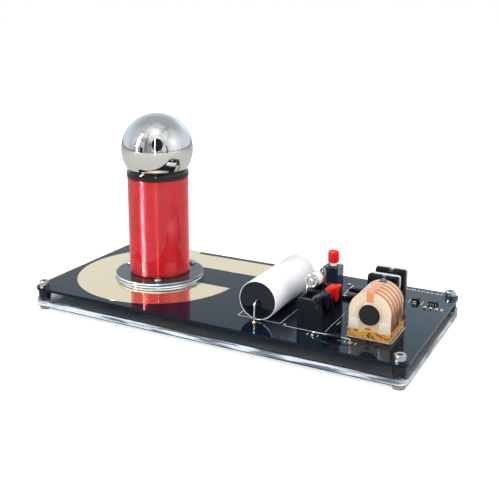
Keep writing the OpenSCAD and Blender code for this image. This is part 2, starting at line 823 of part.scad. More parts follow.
// Steel pin that both levers turn on
module lever_pin() {
    color([0.7, 0.7, 0.72]) translate([pivot_x, term_y + pin_short, pivot_z])
        rotate([-90, 0, 0]) cylinder(h = term_l - 2 * pin_short, r = pin_r);
}

// A pressing lever: a plate on top, an eye round the pin and a tongue down the curved side
module lever(y) {
    translate([0, y + lever_w / 2, 0]) rotate([90, 0, 0]) difference() {
        linear_extrude(lever_w) {
            translate([term_x + plate_from, top_z + term_h + plate_up])
                square([plate_to - plate_from, lever_t]);
            translate([pivot_x, pivot_z]) circle(r = eye_r);
            translate([pivot_x - eye_r, pivot_z])
                square([2 * eye_r, top_z + term_h + plate_up - pivot_z + lever_t / 2]);
            translate([term_x + term_w - tongue_t, top_z + term_h - tongue_low])
                square([tongue_t, tongue_low + plate_up + lever_t / 2]);
        }
        translate([pivot_x, pivot_z, -cut])
            cylinder(h = lever_w + 2 * cut, r = pin_r + run_gap);
    }
}

module black_lever() { color([0.08, 0.08, 0.09]) lever(pole_y[0]); }

module red_lever() { color([0.85, 0.1, 0.1]) lever(pole_y[1]); }

// White ceramic body of the gas discharge tube
module gap_tube_ceramic() {
    color([0.93, 0.93, 0.9]) translate([gap_x, gap_y + gap_l - electrode_t, gap_z0])
        rotate([90, 0, 0]) bush(gap_l - 2 * electrode_t, gap_r - ceramic_in, gap_bore_r);
}

// Plated end electrodes, each with a ring groove and a dimple for its lead
module gap_tube_electrodes() {
    color([0.8, 0.81, 0.83]) for (s = [0, 1])
        translate([gap_x, gap_y + gap_l / 2, gap_z0]) rotate([0, 0, 180 * s])
            translate([0, -gap_l / 2 + electrode_t, 0]) rotate([90, 0, 0]) difference() {
                cylinder(h = electrode_t, r = gap_r);
                translate([0, 0, electrode_t - groove_deep])
                    bush(groove_deep + cut, ring_groove[1], ring_groove[0]);
                translate([0, 0, electrode_t - groove_deep])
                    cylinder(h = groove_deep + cut, r = dimple_r);
            }
}

// Front lead bent down into its well, and rear lead hooked over into the other well
module gap_tube_leads() {
    color([0.78, 0.77, 0.74]) {
        translate([gap_x, gap_y + groove_deep, gap_z0])
            bent_lead(gap_y + groove_deep - gap_lead_bend - pole_y[0], gap_lead_down,
                      gap_lead_bend, gap_lead_d / 2);
        translate([gap_x, gap_y + gap_l - groove_deep, gap_z0])
            swept_tube([for (p = hook_shares) hook_size * p], gap_lead_d / 2, hook_sides);
    }
}

// Square black switch body with a bore for the stem
module switch_body() {
    color([0.08, 0.08, 0.09]) translate([switch_x, switch_y, top_z]) difference() {
        translate([-switch_w / 2, -switch_w / 2, 0]) cube([switch_w, switch_w, switch_h]);
        translate([0, 0, switch_floor])
            cylinder(h = switch_h - switch_floor + cut, r = stem_d / 2 + run_gap);
    }
}

// Brass contact ring under the spring, and the pins under the body
module switch_contacts() {
    color([0.8, 0.65, 0.35]) {
        translate([switch_x, switch_y, top_z + switch_floor])
            bush(contact_h, stem_d / 2 - glue_gap, spring_r / 2);
        for (p = switch_pin_places()) translate([p[0], p[1], board_z - pin_under])
            cylinder(h = board_t + pin_under, r = switch_pin_d / 2);
    }
}

// Return spring hidden in the switch, as a closed sleeve
module switch_spring() {
    color([0.7, 0.7, 0.72]) translate([switch_x, switch_y, spring_z])
        bush(spring_top - spring_z, spring_r, spring_r - spring_wire);
}

// White stem that slides in the switch body
module button_stem() {
    color([0.92, 0.92, 0.9]) translate([switch_x, switch_y, spring_top])
        cylinder(h = button_z + button_h - stem_top_wall - spring_top, r = stem_d / 2);
}

// Red push button cap, with a blind hole for the stem
module button_cap() {
    color([0.85, 0.12, 0.12]) translate([switch_x, switch_y, button_z]) difference() {
        rotate_extrude() {
            square([button_d / 2, button_h - button_edge]);
            square([button_d / 2 - button_edge, button_h]);
            intersection() {
                translate([button_d / 2 - button_edge, button_h - button_edge])
                    circle(r = button_edge);
                square([button_d, button_h]);
            }
        }
        translate([0, 0, -cut])
            cylinder(h = button_h - stem_top_wall + cut, r = stem_d / 2 + glue_gap);
    }
}

// Moulded transistor body with a notch in the middle of its top
module transistor_body(y) {
    color([0.09, 0.09, 0.1]) translate([tran_x, y, top_z + tran_up]) difference() {
        cube([tran_w, tran_t - tab_t, tran_h]);
        translate([tran_w / 2 - notch_w / 2, -cut, tran_h - notch_deep])
            cube([notch_w, tran_t, notch_deep + cut]);
    }
}

// Metal tab behind a transistor body, which stands proud at the top and one side
module transistor_tab(y) {
    color([0.75, 0.76, 0.78]) translate([tran_x, y + tran_t - tab_t, top_z + tran_up])
        cube([tran_w + tab_side, tab_t, tran_h + tab_over]);
}

module front_transistor_body() { transistor_body(front_tran_y); }

module front_transistor_tab() { transistor_tab(front_tran_y); }

module rear_transistor_body() { transistor_body(rear_tran_y); }

module rear_transistor_tab() { transistor_tab(rear_tran_y); }

// Three flat legs under each transistor, through the board
module transistor_legs() {
    color([0.78, 0.78, 0.8]) for (y = [front_tran_y, rear_tran_y], k = [-1 : 1])
        translate([leg_x(k) - leg_w / 2, y + leg_back - leg_t / 2, board_z - pin_under])
            cube([leg_w, leg_t, board_t + pin_under + tran_up]);
}

// Arch outline that stands on the potting: straight sides under a half circle
module arch(r) {
    difference() {
        union() {
            translate([0, arch_z]) circle(r = r);
            translate([-r, potting_h]) square([2 * r, arch_z - potting_h]);
        }
        translate([-2 * r, potting_h - 4 * r]) square([4 * r, 4 * r]);
    }
}

// Places its children's outline upright in the transformer, from a distance behind its front
module hv_slab(from, thick) {
    translate([hv_x + hv_w / 2, hv_y + from + thick, top_z]) rotate([90, 0, 0])
        linear_extrude(thick) children();
}

// Cream bobbin: a hub round the core and a row of arched flanges
module transformer_bobbin() {
    color([0.93, 0.88, 0.78]) difference() {
        union() {
            for (k = [0 : flange_count - 1]) hv_slab(hv_edge + k * flange_pitch, flange_t)
                arch(arch_r);
            hv_slab(hv_edge, hv_body_l) translate([0, core_z]) circle(r = hub_r);
        }
        hv_slab(-cut, hv_l + 2 * cut) translate([0, core_z]) circle(r = core_r + core_gap);
    }
}

// Wound sections between the flanges
module transformer_windings() {
    color([0.85, 0.62, 0.48]) for (k = [0 : flange_count - 2])
        hv_slab(hv_edge + k * flange_pitch + flange_t + glue_gap,
                flange_pitch - flange_t - 2 * glue_gap)
            difference() {
                arch(arch_r - winding_in);
                translate([0, core_z]) circle(r = hub_r + glue_gap);
            }
}

// Black core rod through the bobbin
module transformer_core() {
    color([0.1, 0.1, 0.11]) hv_slab(-core_out, hv_l) translate([0, core_z]) circle(r = core_r);
}

// Amber resin foot of the transformer
module transformer_potting() {
    color([0.75, 0.52, 0.2, 0.9]) translate([hv_x, hv_y, top_z])
        cube([hv_w, hv_l, potting_h]);
}

// Orange tape along the top of the bobbin and down its front face
module transformer_tape() {
    color([0.9, 0.55, 0.25]) {
        hv_slab(hv_edge - tape_t, hv_body_l * tape_share + tape_t) intersection() {
            difference() {
                translate([0, arch_z]) circle(r = arch_r + glue_gap + tape_t);
                translate([0, arch_z]) circle(r = arch_r + glue_gap);
            }
            translate([-tape_w / 2, arch_z]) square([tape_w, 2 * arch_r]);
        }
        hv_slab(hv_edge - tape_t, tape_t - glue_gap) translate([-tape_w / 2, arch_z + arch_r - tape_down])
            square([tape_w, tape_down - tape_t]);
    }
}

// Grey plate behind the last flange
module transformer_back_plate() {
    color([0.45, 0.46, 0.48]) hv_slab(hv_edge + hv_body_l + glue_gap, back_plate_t)
        difference() {
            arch(arch_r + glue_gap);
            translate([0, core_z]) circle(r = core_r + core_gap);
        }
}

// Pins under the potting, through the board
module transformer_pins() {
    color([0.75, 0.75, 0.76]) for (p = hv_pin_places())
        translate([p[0], p[1], board_z - pin_under])
            cylinder(h = board_t + pin_under, r = hv_pin_d / 2);
}

// Black body of the high voltage rod rectifier
module rectifier_body() {
    color([0.08, 0.08, 0.09]) translate([rod_mid - rod_l / 2, rod_y, top_z + rod_z])
        rotate([0, 90, 0]) cylinder(h = rod_l, r = rod_d / 2);
}

// Leads of the rod rectifier, bent down through the board at both ends
module rectifier_leads() {
    color([0.8, 0.8, 0.8]) for (s = [0, 1])
        translate([rod_mid + (s == 0 ? -1 : 1) * rod_l / 2, rod_y, top_z + rod_z])
            rotate([0, 0, s == 0 ? -90 : 90])
                bent_lead(abs(rod_x[s] - rod_mid) - rod_l / 2 - rod_bend,
                          rod_z - rod_bend + board_t + pin_under, rod_bend, rod_lead_d / 2);
}

// A flat moulded body given by its middle and its size, just above its pads
module flat_body(at, size, h) {
    translate([at[0] - size[0] / 2, at[1] - size[1] / 2, top_z + pad_t + flat_up])
        cube([size[0], size[1], h - flat_up]);
}

// A bent strip foot at each end of a flat body, along X before it is turned
module strip_feet(at, body_l, foot, h, turn) {
    for (s = [0, 1])
        translate([at[0], at[1], top_z + pad_t]) rotate([0, 0, turn + 180 * s])
            translate([body_l / 2, -foot[1] / 2, 0]) {
                cube([foot[0], foot[1], leg_sheet]);
                cube([leg_sheet, foot[1], h / 2]);
            }
}

module protection_diode_bodies() {
    color([0.08, 0.08, 0.09]) for (p = protection_at)
        flat_body(p, protection_size, flat_diode_h);
}

module protection_diode_leads() {
    color([0.8, 0.8, 0.82]) for (p = protection_at)
        strip_feet(p, protection_size[0], protection_lead, flat_diode_h, 0);
}

module small_diode_body() {
    color([0.08, 0.08, 0.09]) flat_body(small_diode_at, small_diode_size, flat_diode_h);
}

module small_diode_leads() {
    color([0.8, 0.8, 0.82]) strip_feet(small_diode_at, small_diode_size[1],
        [small_diode_lead[1], small_diode_lead[0]], flat_diode_h, 90);
}

module driver_chip_body() {
    color([0.07, 0.07, 0.08]) flat_body(driver_at, driver_size, chip_h);
}

module driver_chip_legs() {
    color([0.8, 0.8, 0.82]) for (k = [0 : 3])
        strip_feet(driver_at + [driver_leg_x(k), 0], driver_size[1],
                   [driver_leg[1], driver_leg[0]], chip_h, 90);
}

module chip_part_bodies() {
    color([0.75, 0.7, 0.6]) for (p = chip_at)
        translate([p[0] - chip_size[0] / 2, p[1] - chip_size[1] / 2 + chip_end, top_z + pad_t])
            cube([chip_size[0], chip_size[1] - 2 * chip_end, chip_t]);
}

module chip_part_ends() {
    color([0.8, 0.8, 0.8]) for (p = chip_at, s = [-1, 1])
        translate([p[0] - chip_size[0] / 2,
                   p[1] + s * (chip_size[1] - chip_end) / 2 - chip_end / 2, top_z + pad_t])
            cube([chip_size[0], chip_end, chip_t]);
}

base_plate();
circuit_board();
primary_trace();
board_markings();
solder_pads();
solder_joints();
corner_screws();
corner_spacers();
corner_nuts();
coil_base_disc();
disc_screws();
disc_nuts();
coil_tube();
secondary_winding();
top_seat();
discharge_ball();
capacitor_sleeve();
capacitor_roll();
capacitor_end_fill();
capacitor_leads();
terminal_housing();
terminal_contacts();
lever_pin();
black_lever();
red_lever();
gap_tube_ceramic();
gap_tube_electrodes();
gap_tube_leads();
switch_body();
switch_contacts();
switch_spring();
button_stem();
button_cap();
front_transistor_body();
front_transistor_tab();
rear_transistor_body();
rear_transistor_tab();
transistor_legs();
transformer_bobbin();
transformer_windings();
transformer_core();
transformer_potting();
transformer_tape();
transformer_back_plate();
transformer_pins();
rectifier_body();
rectifier_leads();
protection_diode_bodies();
protection_diode_leads();
small_diode_body();
small_diode_leads();
driver_chip_body();
driver_chip_legs();
chip_part_bodies();
chip_part_ends();
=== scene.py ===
"""Looks of the desktop resonant transformer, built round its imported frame."""

import logging
import math
import random
from dataclasses import dataclass, field
from enum import Enum
from typing import Callable, Sequence

import bmesh
import bpy
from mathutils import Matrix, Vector


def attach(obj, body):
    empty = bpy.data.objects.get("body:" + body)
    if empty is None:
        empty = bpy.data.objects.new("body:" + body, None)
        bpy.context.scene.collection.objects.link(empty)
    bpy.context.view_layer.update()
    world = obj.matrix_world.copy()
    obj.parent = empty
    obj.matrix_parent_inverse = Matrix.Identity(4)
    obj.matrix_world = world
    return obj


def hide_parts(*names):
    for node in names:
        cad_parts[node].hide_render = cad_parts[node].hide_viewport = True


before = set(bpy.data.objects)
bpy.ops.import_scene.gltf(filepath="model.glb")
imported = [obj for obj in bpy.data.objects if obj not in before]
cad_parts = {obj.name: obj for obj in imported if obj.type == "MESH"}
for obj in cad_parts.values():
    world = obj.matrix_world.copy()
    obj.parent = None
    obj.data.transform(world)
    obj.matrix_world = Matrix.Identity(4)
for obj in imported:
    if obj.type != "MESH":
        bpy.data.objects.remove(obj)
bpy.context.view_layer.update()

LOG = logging.getLogger("kit")
Node = bpy.types.Node
Socket = bpy.types.NodeSocket
Pair = tuple[float, float]
Triple = tuple[float, float, float]
Color = Triple
Ring = list[Vector]
Radius = float | Callable[[float], float]

# one millimetre in metres, then lengths in millimetres
MM = 0.001
BOARD_TOP = 13.0
BOARD_UNDER = 11.4
# what flat parts stand on, and how thick print is
PAD_LIFT = 0.16
PRINT_THICK = 0.05
# radius of the tiny face that closes a turned shape at its axis
CENTRE = 0.02
# how deep the painted highlight bands lie inside a cut edge
HIGHLIGHT_DEPTH = 0.06


class Axis(Enum):
    """Direction that a turned or lofted shape grows along, with the two directions across it."""

    ALONG_X = (Vector((1, 0, 0)), Vector((0, 1, 0)), Vector((0, 0, 1)))
    ALONG_Y = (Vector((0, 1, 0)), Vector((0, 0, 1)), Vector((1, 0, 0)))
    FRONT = (Vector((0, -1, 0)), Vector((1, 0, 0)), Vector((0, 0, 1)))
    UP = (Vector((0, 0, 1)), Vector((1, 0, 0)), Vector((0, 1, 0)))
    DOWN = (Vector((0, 0, -1)), Vector((0, 1, 0)), Vector((1, 0, 0)))


class Body(Enum):
    """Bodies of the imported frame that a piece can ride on."""

    KIT = "kit"
    BUTTON = "button"
    FRONT_LEVER = "front_lever"
    REAR_LEVER = "rear_lever"


# Shader nodes


@dataclass(frozen=True)
class Nodes:
    """Node tree with short ways to add nodes to it."""

    tree: bpy.types.NodeTree

    def feed(self, socket: Socket, value: object) -> None:
        """Links an output socket to an input socket, or sets the input's value.

        Args:
            socket: Input socket.
            value: Output socket, colour or other value that it gets.
        """
        if isinstance(value, Socket):
            self.tree.links.new(value, socket)
        elif socket.type == "RGBA":
            socket.default_value = (*value, 1.0)
        else:
            socket.default_value = value

    def add(self, kind: str, inputs: dict[int | str, object] | None = None,
            **options: object) -> Node:
        """Adds a node, sets its options and feeds its inputs.

        Args:
            kind: Kind of the node, without the leading ShaderNode.
            inputs: Output sockets, colours or other values, by the input's name or number.
            options: Options of the node, by name.

        Returns:
            The new node.
        """
        node = self.tree.nodes.new(f"ShaderNode{kind}")
        for label, value in options.items():
            setattr(node, label, value)
        for label, value in (inputs or {}).items():
            self.feed(node.inputs[label], value)
        return node

    def noise(self, where: Socket, scale: Socket | float, detail: float = 2.0) -> Socket:
        """Adds a soft noise.

        Args:
            where: Place on the surface.
            scale: Waves in a metre.
            detail: Number of finer layers.

        Returns:
            Output socket of the noise.
        """
        inputs = {"Vector": where, "Scale": scale, "Detail": detail}
        return self.add("TexNoise", inputs).outputs["Fac"]

    def share(self, value: Socket, start: float, end: float) -> Socket:
        """Maps a span of a value to 0 to 1.

        Args:
            value: Value that is mapped.
            start: Value that gives 0.
            end: Value that gives 1.

        Returns:
            Output socket of the mapped value.
        """
        inputs = {"Value": value, "From Min": start, "From Max": end}
        return self.add("MapRange", inputs).outputs["Result"]

    def stretch(self, where: Socket, scale: Triple, shift: Triple = (0.0, 0.0, 0.0)) -> Socket:
        """Stretches and shifts the place that a texture sees.

        Args:
            where: Place on the surface.
            scale: Factors along X, Y and Z.
            shift: Shifts along X, Y and Z.

        Returns:
            Output socket of the new place.
        """
        inputs = {"Vector": where, "Location": shift, "Scale": scale}
        return self.add("Mapping", inputs).outputs["Vector"]

    def calc(self, operation: str, *values: Socket | float, clamp: bool = False) -> Socket:
        """Works out a sum.

        Args:
            operation: Name of the sum.
            values: Its values, in order.
            clamp: Whether the result is kept from 0 to 1.

        Returns:
            Output socket of the result.
        """
        inputs = dict(enumerate(values))
        return self.add("Math", inputs, operation=operation, use_clamp=clamp).outputs[0]

    def mix(self, amount: Socket, first: Socket | Color, second: Socket | Color) -> Socket:
        """Mixes two colours.

        Args:
            amount: Share of the second colour.
            first: First colour.
            second: Second colour.

        Returns:
            Output socket of the mixed colour.
        """
        # numbers of the mix node's colour sockets, as its names stand for several
        amount_in, first_in, second_in, color_out = 0, 6, 7, 2
        inputs = {amount_in: amount, first_in: first, second_in: second}
        return self.add("Mix", inputs, data_type="RGBA").outputs[color_out]

    def mix_shaders(self, amount: Socket, first: Node, second: Node) -> Node:
        """Mixes two shaders.

        Args:
            amount: Share of the second shader.
            first: First shader.
            second: Second shader.

        Returns:
            The node that mixes them.
        """
        return self.add("MixShader", {0: amount, 1: first.outputs[0], 2: second.outputs[0]})


@dataclass(frozen=True)
class Surface(Nodes):
    """Material that is being made, with its Principled shader and the place on the piece."""

    shader: Node
    where: Socket

    def paint(self, **values: object) -> None:
        """Feeds inputs of the shader, named with _ for a space."""
        for label, value in values.items():
            self.feed(self.shader.inputs[label.replace("_", " ")], value)

    def stain(self, mask: Socket, color: Color) -> Socket:
        """Lays a colour over the base colour that the shader has so far.

        Args:
            mask: Share of the new colour.
            color: The new colour.

        Returns:
            Output socket of the new base colour.
        """
        base = self.shader.inputs["Base Color"].links[0].from_socket
        stained = self.mix(mask, base, color)
        self.paint(Base_Color=stained)
        return stained


def new_material(name: str) -> bpy.types.Material:
    """Makes a material whose node tree is still empty.

    Args:
        name: Name of the material.

    Returns:
        The material.
    """
    material = bpy.data.materials.new(name)
    material.use_nodes = True
    material.node_tree.nodes.clear()
    return material


# Effects shared by the finishes


class Effect:
    """A shader node group that is made once and placed in each material that uses it.

    Its inputs and outputs are kinds of socket by name, and one input is the place.
    """

    name: str = "effect"
    inputs: dict[str, str] = {}
    outputs: dict[str, str] = {}

    def group(self) -> bpy.types.NodeTree:
        """Finds the group or makes it.

        Returns:
            The finished node group.
        """
        found = bpy.data.node_groups.get(self.name)
        if found is not None:
            return found
        tree = bpy.data.node_groups.new(self.name, "ShaderNodeTree")
        for direction, sockets in (("INPUT", self.inputs), ("OUTPUT", self.outputs)):
            for label, kind in sockets.items():
                tree.interface.new_socket(label, in_out=direction, socket_type=f"NodeSocket{kind}")
        source = tree.nodes.new("NodeGroupInput")
        sink = tree.nodes.new("NodeGroupOutput")
        for label, result in self.results(Nodes(tree), source.outputs).items():
            tree.links.new(result, sink.inputs[label])
        return tree

    def results(self, nodes: Nodes, given: bpy.types.NodeOutputs) -> dict[str, Socket]:
        """Adds the nodes inside the group.

        Args:
            nodes: The group's node tree.
            given: Sockets of the group's inputs, by name.

        Returns:
            Sockets of the group's outputs, by name.
        """
        raise NotImplementedError

    def place(self, nodes: Nodes, where: Socket, **values: object) -> bpy.types.NodeOutputs:
        """Places the group in a material.

        Args:
            nodes: The material's node tree.
            where: Place on the surface.
            values: Values of the group's other inputs, by name.

        Returns:
            Output sockets of the group, by name.
        """
        return nodes.add("Group", {"Place": where, **values}, node_tree=self.group()).outputs


class Drift(Effect):
    """Slow change between two colours, with gloss that drifts along."""

    name = "Surface drift"
    inputs = {"Place": "Vector", "Scale": "Float", "First": "Color", "Second": "Color",
              "Roughness": "Float", "Spread": "Float"}
    outputs = {"Color": "Color", "Roughness": "Float"}

    def results(self, nodes: Nodes, given: bpy.types.NodeOutputs) -> dict[str, Socket]:
        """Mixes the two colours, and swings the gloss about its middle, by one soft noise.

        Args:
            nodes: The group's node tree.
            given: Sockets of the group's inputs, by name.

        Returns:
            Sockets of the group's outputs, by name.
        """
        noise = nodes.noise(given["Place"], given["Scale"], detail=4.0)
        swing = nodes.calc("SUBTRACT", noise, 0.5)
        gloss = nodes.calc("MULTIPLY_ADD", swing, given["Spread"], given["Roughness"], clamp=True)
        return {"Color": nodes.mix(noise, given["First"], given["Second"]), "Roughness": gloss}


class Grain(Effect):
    """Fine moulded or cast grain, as a height."""

    name = "Fine grain"
    inputs = {"Place": "Vector", "Scale": "Float"}
    outputs = {"Height": "Float"}

    def results(self, nodes: Nodes, given: bpy.types.NodeOutputs) -> dict[str, Socket]:
        """Makes the height from a fine noise."""
        return {"Height": nodes.noise(given["Place"], given["Scale"])}


class LowBackStreaks(Effect):
    """Upright streaks that are strongest low down and fade towards the front face, as a mask."""

    name = "Low back streaks"
    inputs = {"Place": "Vector"}
    outputs = {"Mask": "Float"}
    levels: Pair = (33.0, 23.5)
    depths: Pair = (-28.4, -26.5)
    squeeze: Triple = (1.0, 1.0, 0.16)
    scale: float = 900.0
    edges: Pair = (0.24, 0.50)

    def results(self, nodes: Nodes, given: bpy.types.NodeOutputs) -> dict[str, Socket]:
        """Multiplies the shares of height, depth and streaks.

        Args:
            nodes: The group's node tree.
            given: Sockets of the group's inputs, by name.

        Returns:
            Sockets of the group's outputs, by name.
        """
        where = given["Place"]
        split = nodes.add("SeparateXYZ", {0: where}).outputs
        low = nodes.share(split["Z"], self.levels[0] * MM, self.levels[1] * MM)
        behind = nodes.share(split["Y"], self.depths[0] * MM, self.depths[1] * MM)
        noise = nodes.noise(nodes.stretch(where, self.squeeze), self.scale)
        streaks = nodes.share(noise, *self.edges)
        return {"Mask": nodes.calc("MULTIPLY", nodes.calc("MULTIPLY", low, behind), streaks)}


# Finishes


@dataclass(frozen=True)
class Finish:
    """A finish with drifting colour and gloss and a fine relief."""

    name: str
    slot: str
    color: Color
    second: Color
    roughness: float
    metallic: float = 0.0
    spread: float = 0.06
    drift: float = 60.0
    grain: float = 0.0
    grain_scale: float = 2500.0
    relief: float = 0.05
    coat: float = 0.0
    coat_roughness: float = 0.05
    coat_ior: float = 1.5
    ior: float = 1.5
    transmission: float = 0.0
    subsurface: float = 0.0
    bleed: Color = (1.0, 0.8, 0.6)
    tint: Color = (1.0, 1.0, 1.0)

    def material(self) -> bpy.types.Material:
        """Makes the material once.

        Returns:
            The material with its procedural nodes.
        """
        found = bpy.data.materials.get(self.name)
        if found is not None:
            return found
        material = new_material(self.name)
        nodes = Nodes(material.node_tree)
        shader = nodes.add("BsdfPrincipled")
        nodes.add("OutputMaterial", {"Surface": shader.outputs[0]})
        where = nodes.add("TexCoord").outputs["Object"]
        self.dress(Surface(material.node_tree, shader, where))
        return material

    def dress(self, surface: Surface) -> None:
        """Sets the shader and links the effects to it.

        Args:
            surface: The material that is being made.
        """
        surface.paint(Metallic=self.metallic, IOR=self.ior, Transmission_Weight=self.transmission,
                      Coat_Weight=self.coat, Coat_Roughness=self.coat_roughness,
                      Coat_IOR=self.coat_ior, Specular_Tint=self.tint,
                      Subsurface_Weight=self.subsurface, Subsurface_Radius=self.bleed,
                      Subsurface_Scale=MM)
        drift = Drift().place(surface, surface.where, Scale=self.drift, First=self.color,
                              Second=self.second, Roughness=self.roughness, Spread=self.spread)
        surface.paint(Base_Color=drift["Color"], Roughness=drift["Roughness"])
        if self.grain > 0:
            height = Grain().place(surface, surface.where, Scale=self.grain_scale)["Height"]
            inputs = {"Strength": self.grain, "Distance": self.relief * MM, "Height": height}
            surface.paint(Normal=surface.add("Bump", inputs).outputs[0])


@dataclass(frozen=True)
class CastAmber(Finish):
    """Amber resin with darker cast patches inside."""

    patch: Color = (0.26, 0.075, 0.015)
    patch_scale: float = 430.0
    patch_edges: Pair = (0.55, 0.68)

    def dress(self, surface: Surface) -> None:
        """Adds brown patches to the plain finish.

        Args:
            surface: The material that is being made.
        """
        super().dress(surface)
        noise = surface.noise(surface.where, self.patch_scale, detail=3.0)
        surface.stain(surface.share(noise, *self.patch_edges), self.patch)


@dataclass(frozen=True)
class BrownedLowBack(Finish):
    """Finish browned in upright streaks, low down and away from the front face."""

    brown: Color = (0.11, 0.040, 0.016)

    def dress(self, surface: Surface) -> None:
        """Adds the brown streaks to the plain finish."""
        super().dress(surface)
        surface.stain(LowBackStreaks().place(surface, surface.where)["Mask"], self.brown)


@dataclass(frozen=True)
class StreakedEdgeHighlight(Finish):
    """Painted highlight for the cut edge of clear sheet: a pale band with long bright and dull
    streaks of painted reflection.
    """

    dull: Color = (0.16, 0.19, 0.23)
    squeeze: Triple = (1.0, 1.0, 14.0)
    streak_scale: float = 55.0
    streak_edges: Pair = (0.46, 0.58)
    piped: float = 0.26

    def dress(self, surface: Surface) -> None:
        """Adds the painted reflection streaks along the edge, and a painted glow for the light that
        the sheet pipes to it.

        Args:
            surface: The material that is being made.
        """
        super().dress(surface)
        where = surface.stretch(surface.where, self.squeeze)
        noise = surface.noise(where, self.streak_scale, detail=5.0)
        color = surface.stain(surface.share(noise, *self.streak_edges), self.dull)
        # painted glow: the streaked colour is emitted, standing in for light piped along the sheet
        surface.paint(Emission_Color=color, Emission_Strength=self.piped)


@dataclass(frozen=True)
class ClearFilm(Finish):
    """Thin clear varnish that only adds gloss to what lies under it."""

    cover: float = 0.04

    def dress(self, surface: Surface) -> None:
        """Makes the plain finish mostly clear."""
        super().dress(surface)
        surface.paint(Alpha=self.cover)


ACRYLIC = Finish("Clear acrylic", "clear_acrylic", (0.86, 0.92, 0.97), (0.80, 0.88, 0.94), 0.03,
                 spread=0.02, ior=1.49, transmission=1.0)
# tinted greyer than clear acrylic: painted shade that darkens the gap seen under the board
SHADED_BASE_SHEET = Finish("Base sheet with painted shade", "clear_acrylic", (0.66, 0.69, 0.71), (0.60, 0.63, 0.66),
                    0.03, spread=0.02, ior=1.49, transmission=1.0)
DISC = Finish("Clear disc", "clear_acrylic", (0.82, 0.92, 1.0), (0.76, 0.87, 0.97), 0.03,
              spread=0.02, ior=1.56, transmission=0.96)
# pale, partly opaque and glowing: a painted highlight for the clear cut edges
PAINTED_EDGE_HIGHLIGHT = StreakedEdgeHighlight("Painted edge highlight", "clear_acrylic", (0.92, 0.96, 1.0), (0.80, 0.87, 0.94), 0.12,
                        spread=0.05, ior=1.3, transmission=0.15)
LACQUER = Finish("Board lacquer", "board_lacquer", (0.003, 0.008, 0.016), (0.004, 0.011, 0.021),
                 0.03, spread=0.02, ior=1.27, grain=0.02, grain_scale=900.0, tint=(0.7, 0.88, 1.0))
TRACE = Finish("Gilt trace", "bare_trace", (1.0, 0.82, 0.55), (0.98, 0.77, 0.49), 0.09,
               metallic=0.94, spread=0.03, grain=0.04, grain_scale=1500.0)
PRINT = Finish("White print", "white_print", (0.74, 0.79, 0.84), (0.62, 0.67, 0.73), 0.5)
GILT = Finish("Gilt pad", "gilt_pad", (0.92, 0.70, 0.36), (0.85, 0.60, 0.28), 0.22, metallic=1.0)
SOLDER = Finish("Solder", "solder", (0.80, 0.80, 0.81), (0.62, 0.62, 0.64), 0.20, metallic=1.0,
                grain=0.3, grain_scale=1800.0, drift=400.0)
NYLON = Finish("Black nylon", "black_nylon", (0.006, 0.006, 0.007), (0.012, 0.012, 0.013), 0.32,
               grain=0.3, ior=1.35)
STEEL = Finish("Plated steel", "plated_steel", (0.56, 0.56, 0.58), (0.43, 0.43, 0.46), 0.17,
               metallic=1.0, grain=0.06, drift=300.0)
ENAMEL = Finish("Red wire enamel", "enamelled_wire", (0.92, 0.008, 0.022), (0.80, 0.004, 0.014),
                0.12, metallic=0.7, coat=0.45, coat_roughness=0.04, coat_ior=1.55, drift=120.0)
VARNISH = ClearFilm("Coil varnish", "enamelled_wire", (1.0, 1.0, 1.0), (0.94, 0.95, 0.96), 0.06,
                    metallic=1.0, spread=0.04, drift=90.0)
RING_BLACK = Finish("Black ring plastic", "black_plastic", (0.004, 0.004, 0.006),
                    (0.008, 0.008, 0.01), 0.06, grain=0.05, ior=1.5)
MIRROR = Finish("Mirror steel", "polished_steel", (0.77, 0.76, 0.74), (0.72, 0.71, 0.70), 0.012,
                metallic=1.0, spread=0.012)
SLEEVE = Finish("White sleeve", "white_sleeve", (0.93, 0.93, 0.94), (0.90, 0.90, 0.92), 0.32,
                grain=0.05, subsurface=0.2)
FILM = Finish("Wound film", "wound_film", (0.5, 0.52, 0.55), (0.42, 0.44, 0.47), 0.4)
RESIN = Finish("Black resin", "black_resin", (0.003, 0.004, 0.006), (0.007, 0.009, 0.012), 0.08,
               grain=0.12, grain_scale=700.0, ior=1.42, tint=(0.8, 0.9, 1.0))
TINNED = Finish("Tinned wire", "tinned_wire", (0.88, 0.87, 0.84), (0.76, 0.75, 0.72), 0.14,
                metallic=1.0, drift=500.0)
HOUSING = Finish("Black housing", "black_housing", (0.003, 0.004, 0.006), (0.006, 0.007, 0.010),
                 0.38, grain=0.2, grain_scale=3000.0, ior=1.26, tint=(0.72, 0.86, 1.0))
RIM_BLACK = Finish("Matt housing rims", "black_housing", (0.004, 0.005, 0.007),
                   (0.008, 0.009, 0.012), 0.55, grain=0.2, ior=1.2)
SWITCH_BLACK = Finish("Glossy switch body", "black_housing", (0.010, 0.018, 0.030),
                      (0.014, 0.024, 0.040), 0.08, grain=0.1, grain_scale=1500.0, ior=1.75,
                      tint=(0.66, 0.84, 1.0))
BLACKENED = Finish("Blackened pin", "plated_steel", (0.012, 0.012, 0.014), (0.02, 0.02, 0.022), 0.4,
                   metallic=0.3)
COPPER = Finish("Copper clip", "copper_clip", (0.86, 0.46, 0.28), (0.74, 0.36, 0.2), 0.2,
                metallic=1.0, drift=300.0)
RED = Finish("Red plastic", "red_plastic", (0.84, 0.012, 0.006), (0.76, 0.008, 0.004), 0.28,
             grain=0.08, ior=1.28)
CAP_RED = Finish("Red cap plastic", "red_plastic", (0.82, 0.018, 0.008), (0.74, 0.012, 0.006), 0.34,
                 grain=0.08, ior=1.32)
CERAMIC = Finish("White ceramic", "white_ceramic", (0.86, 0.86, 0.84), (0.8, 0.8, 0.78), 0.18,
                 subsurface=0.2)
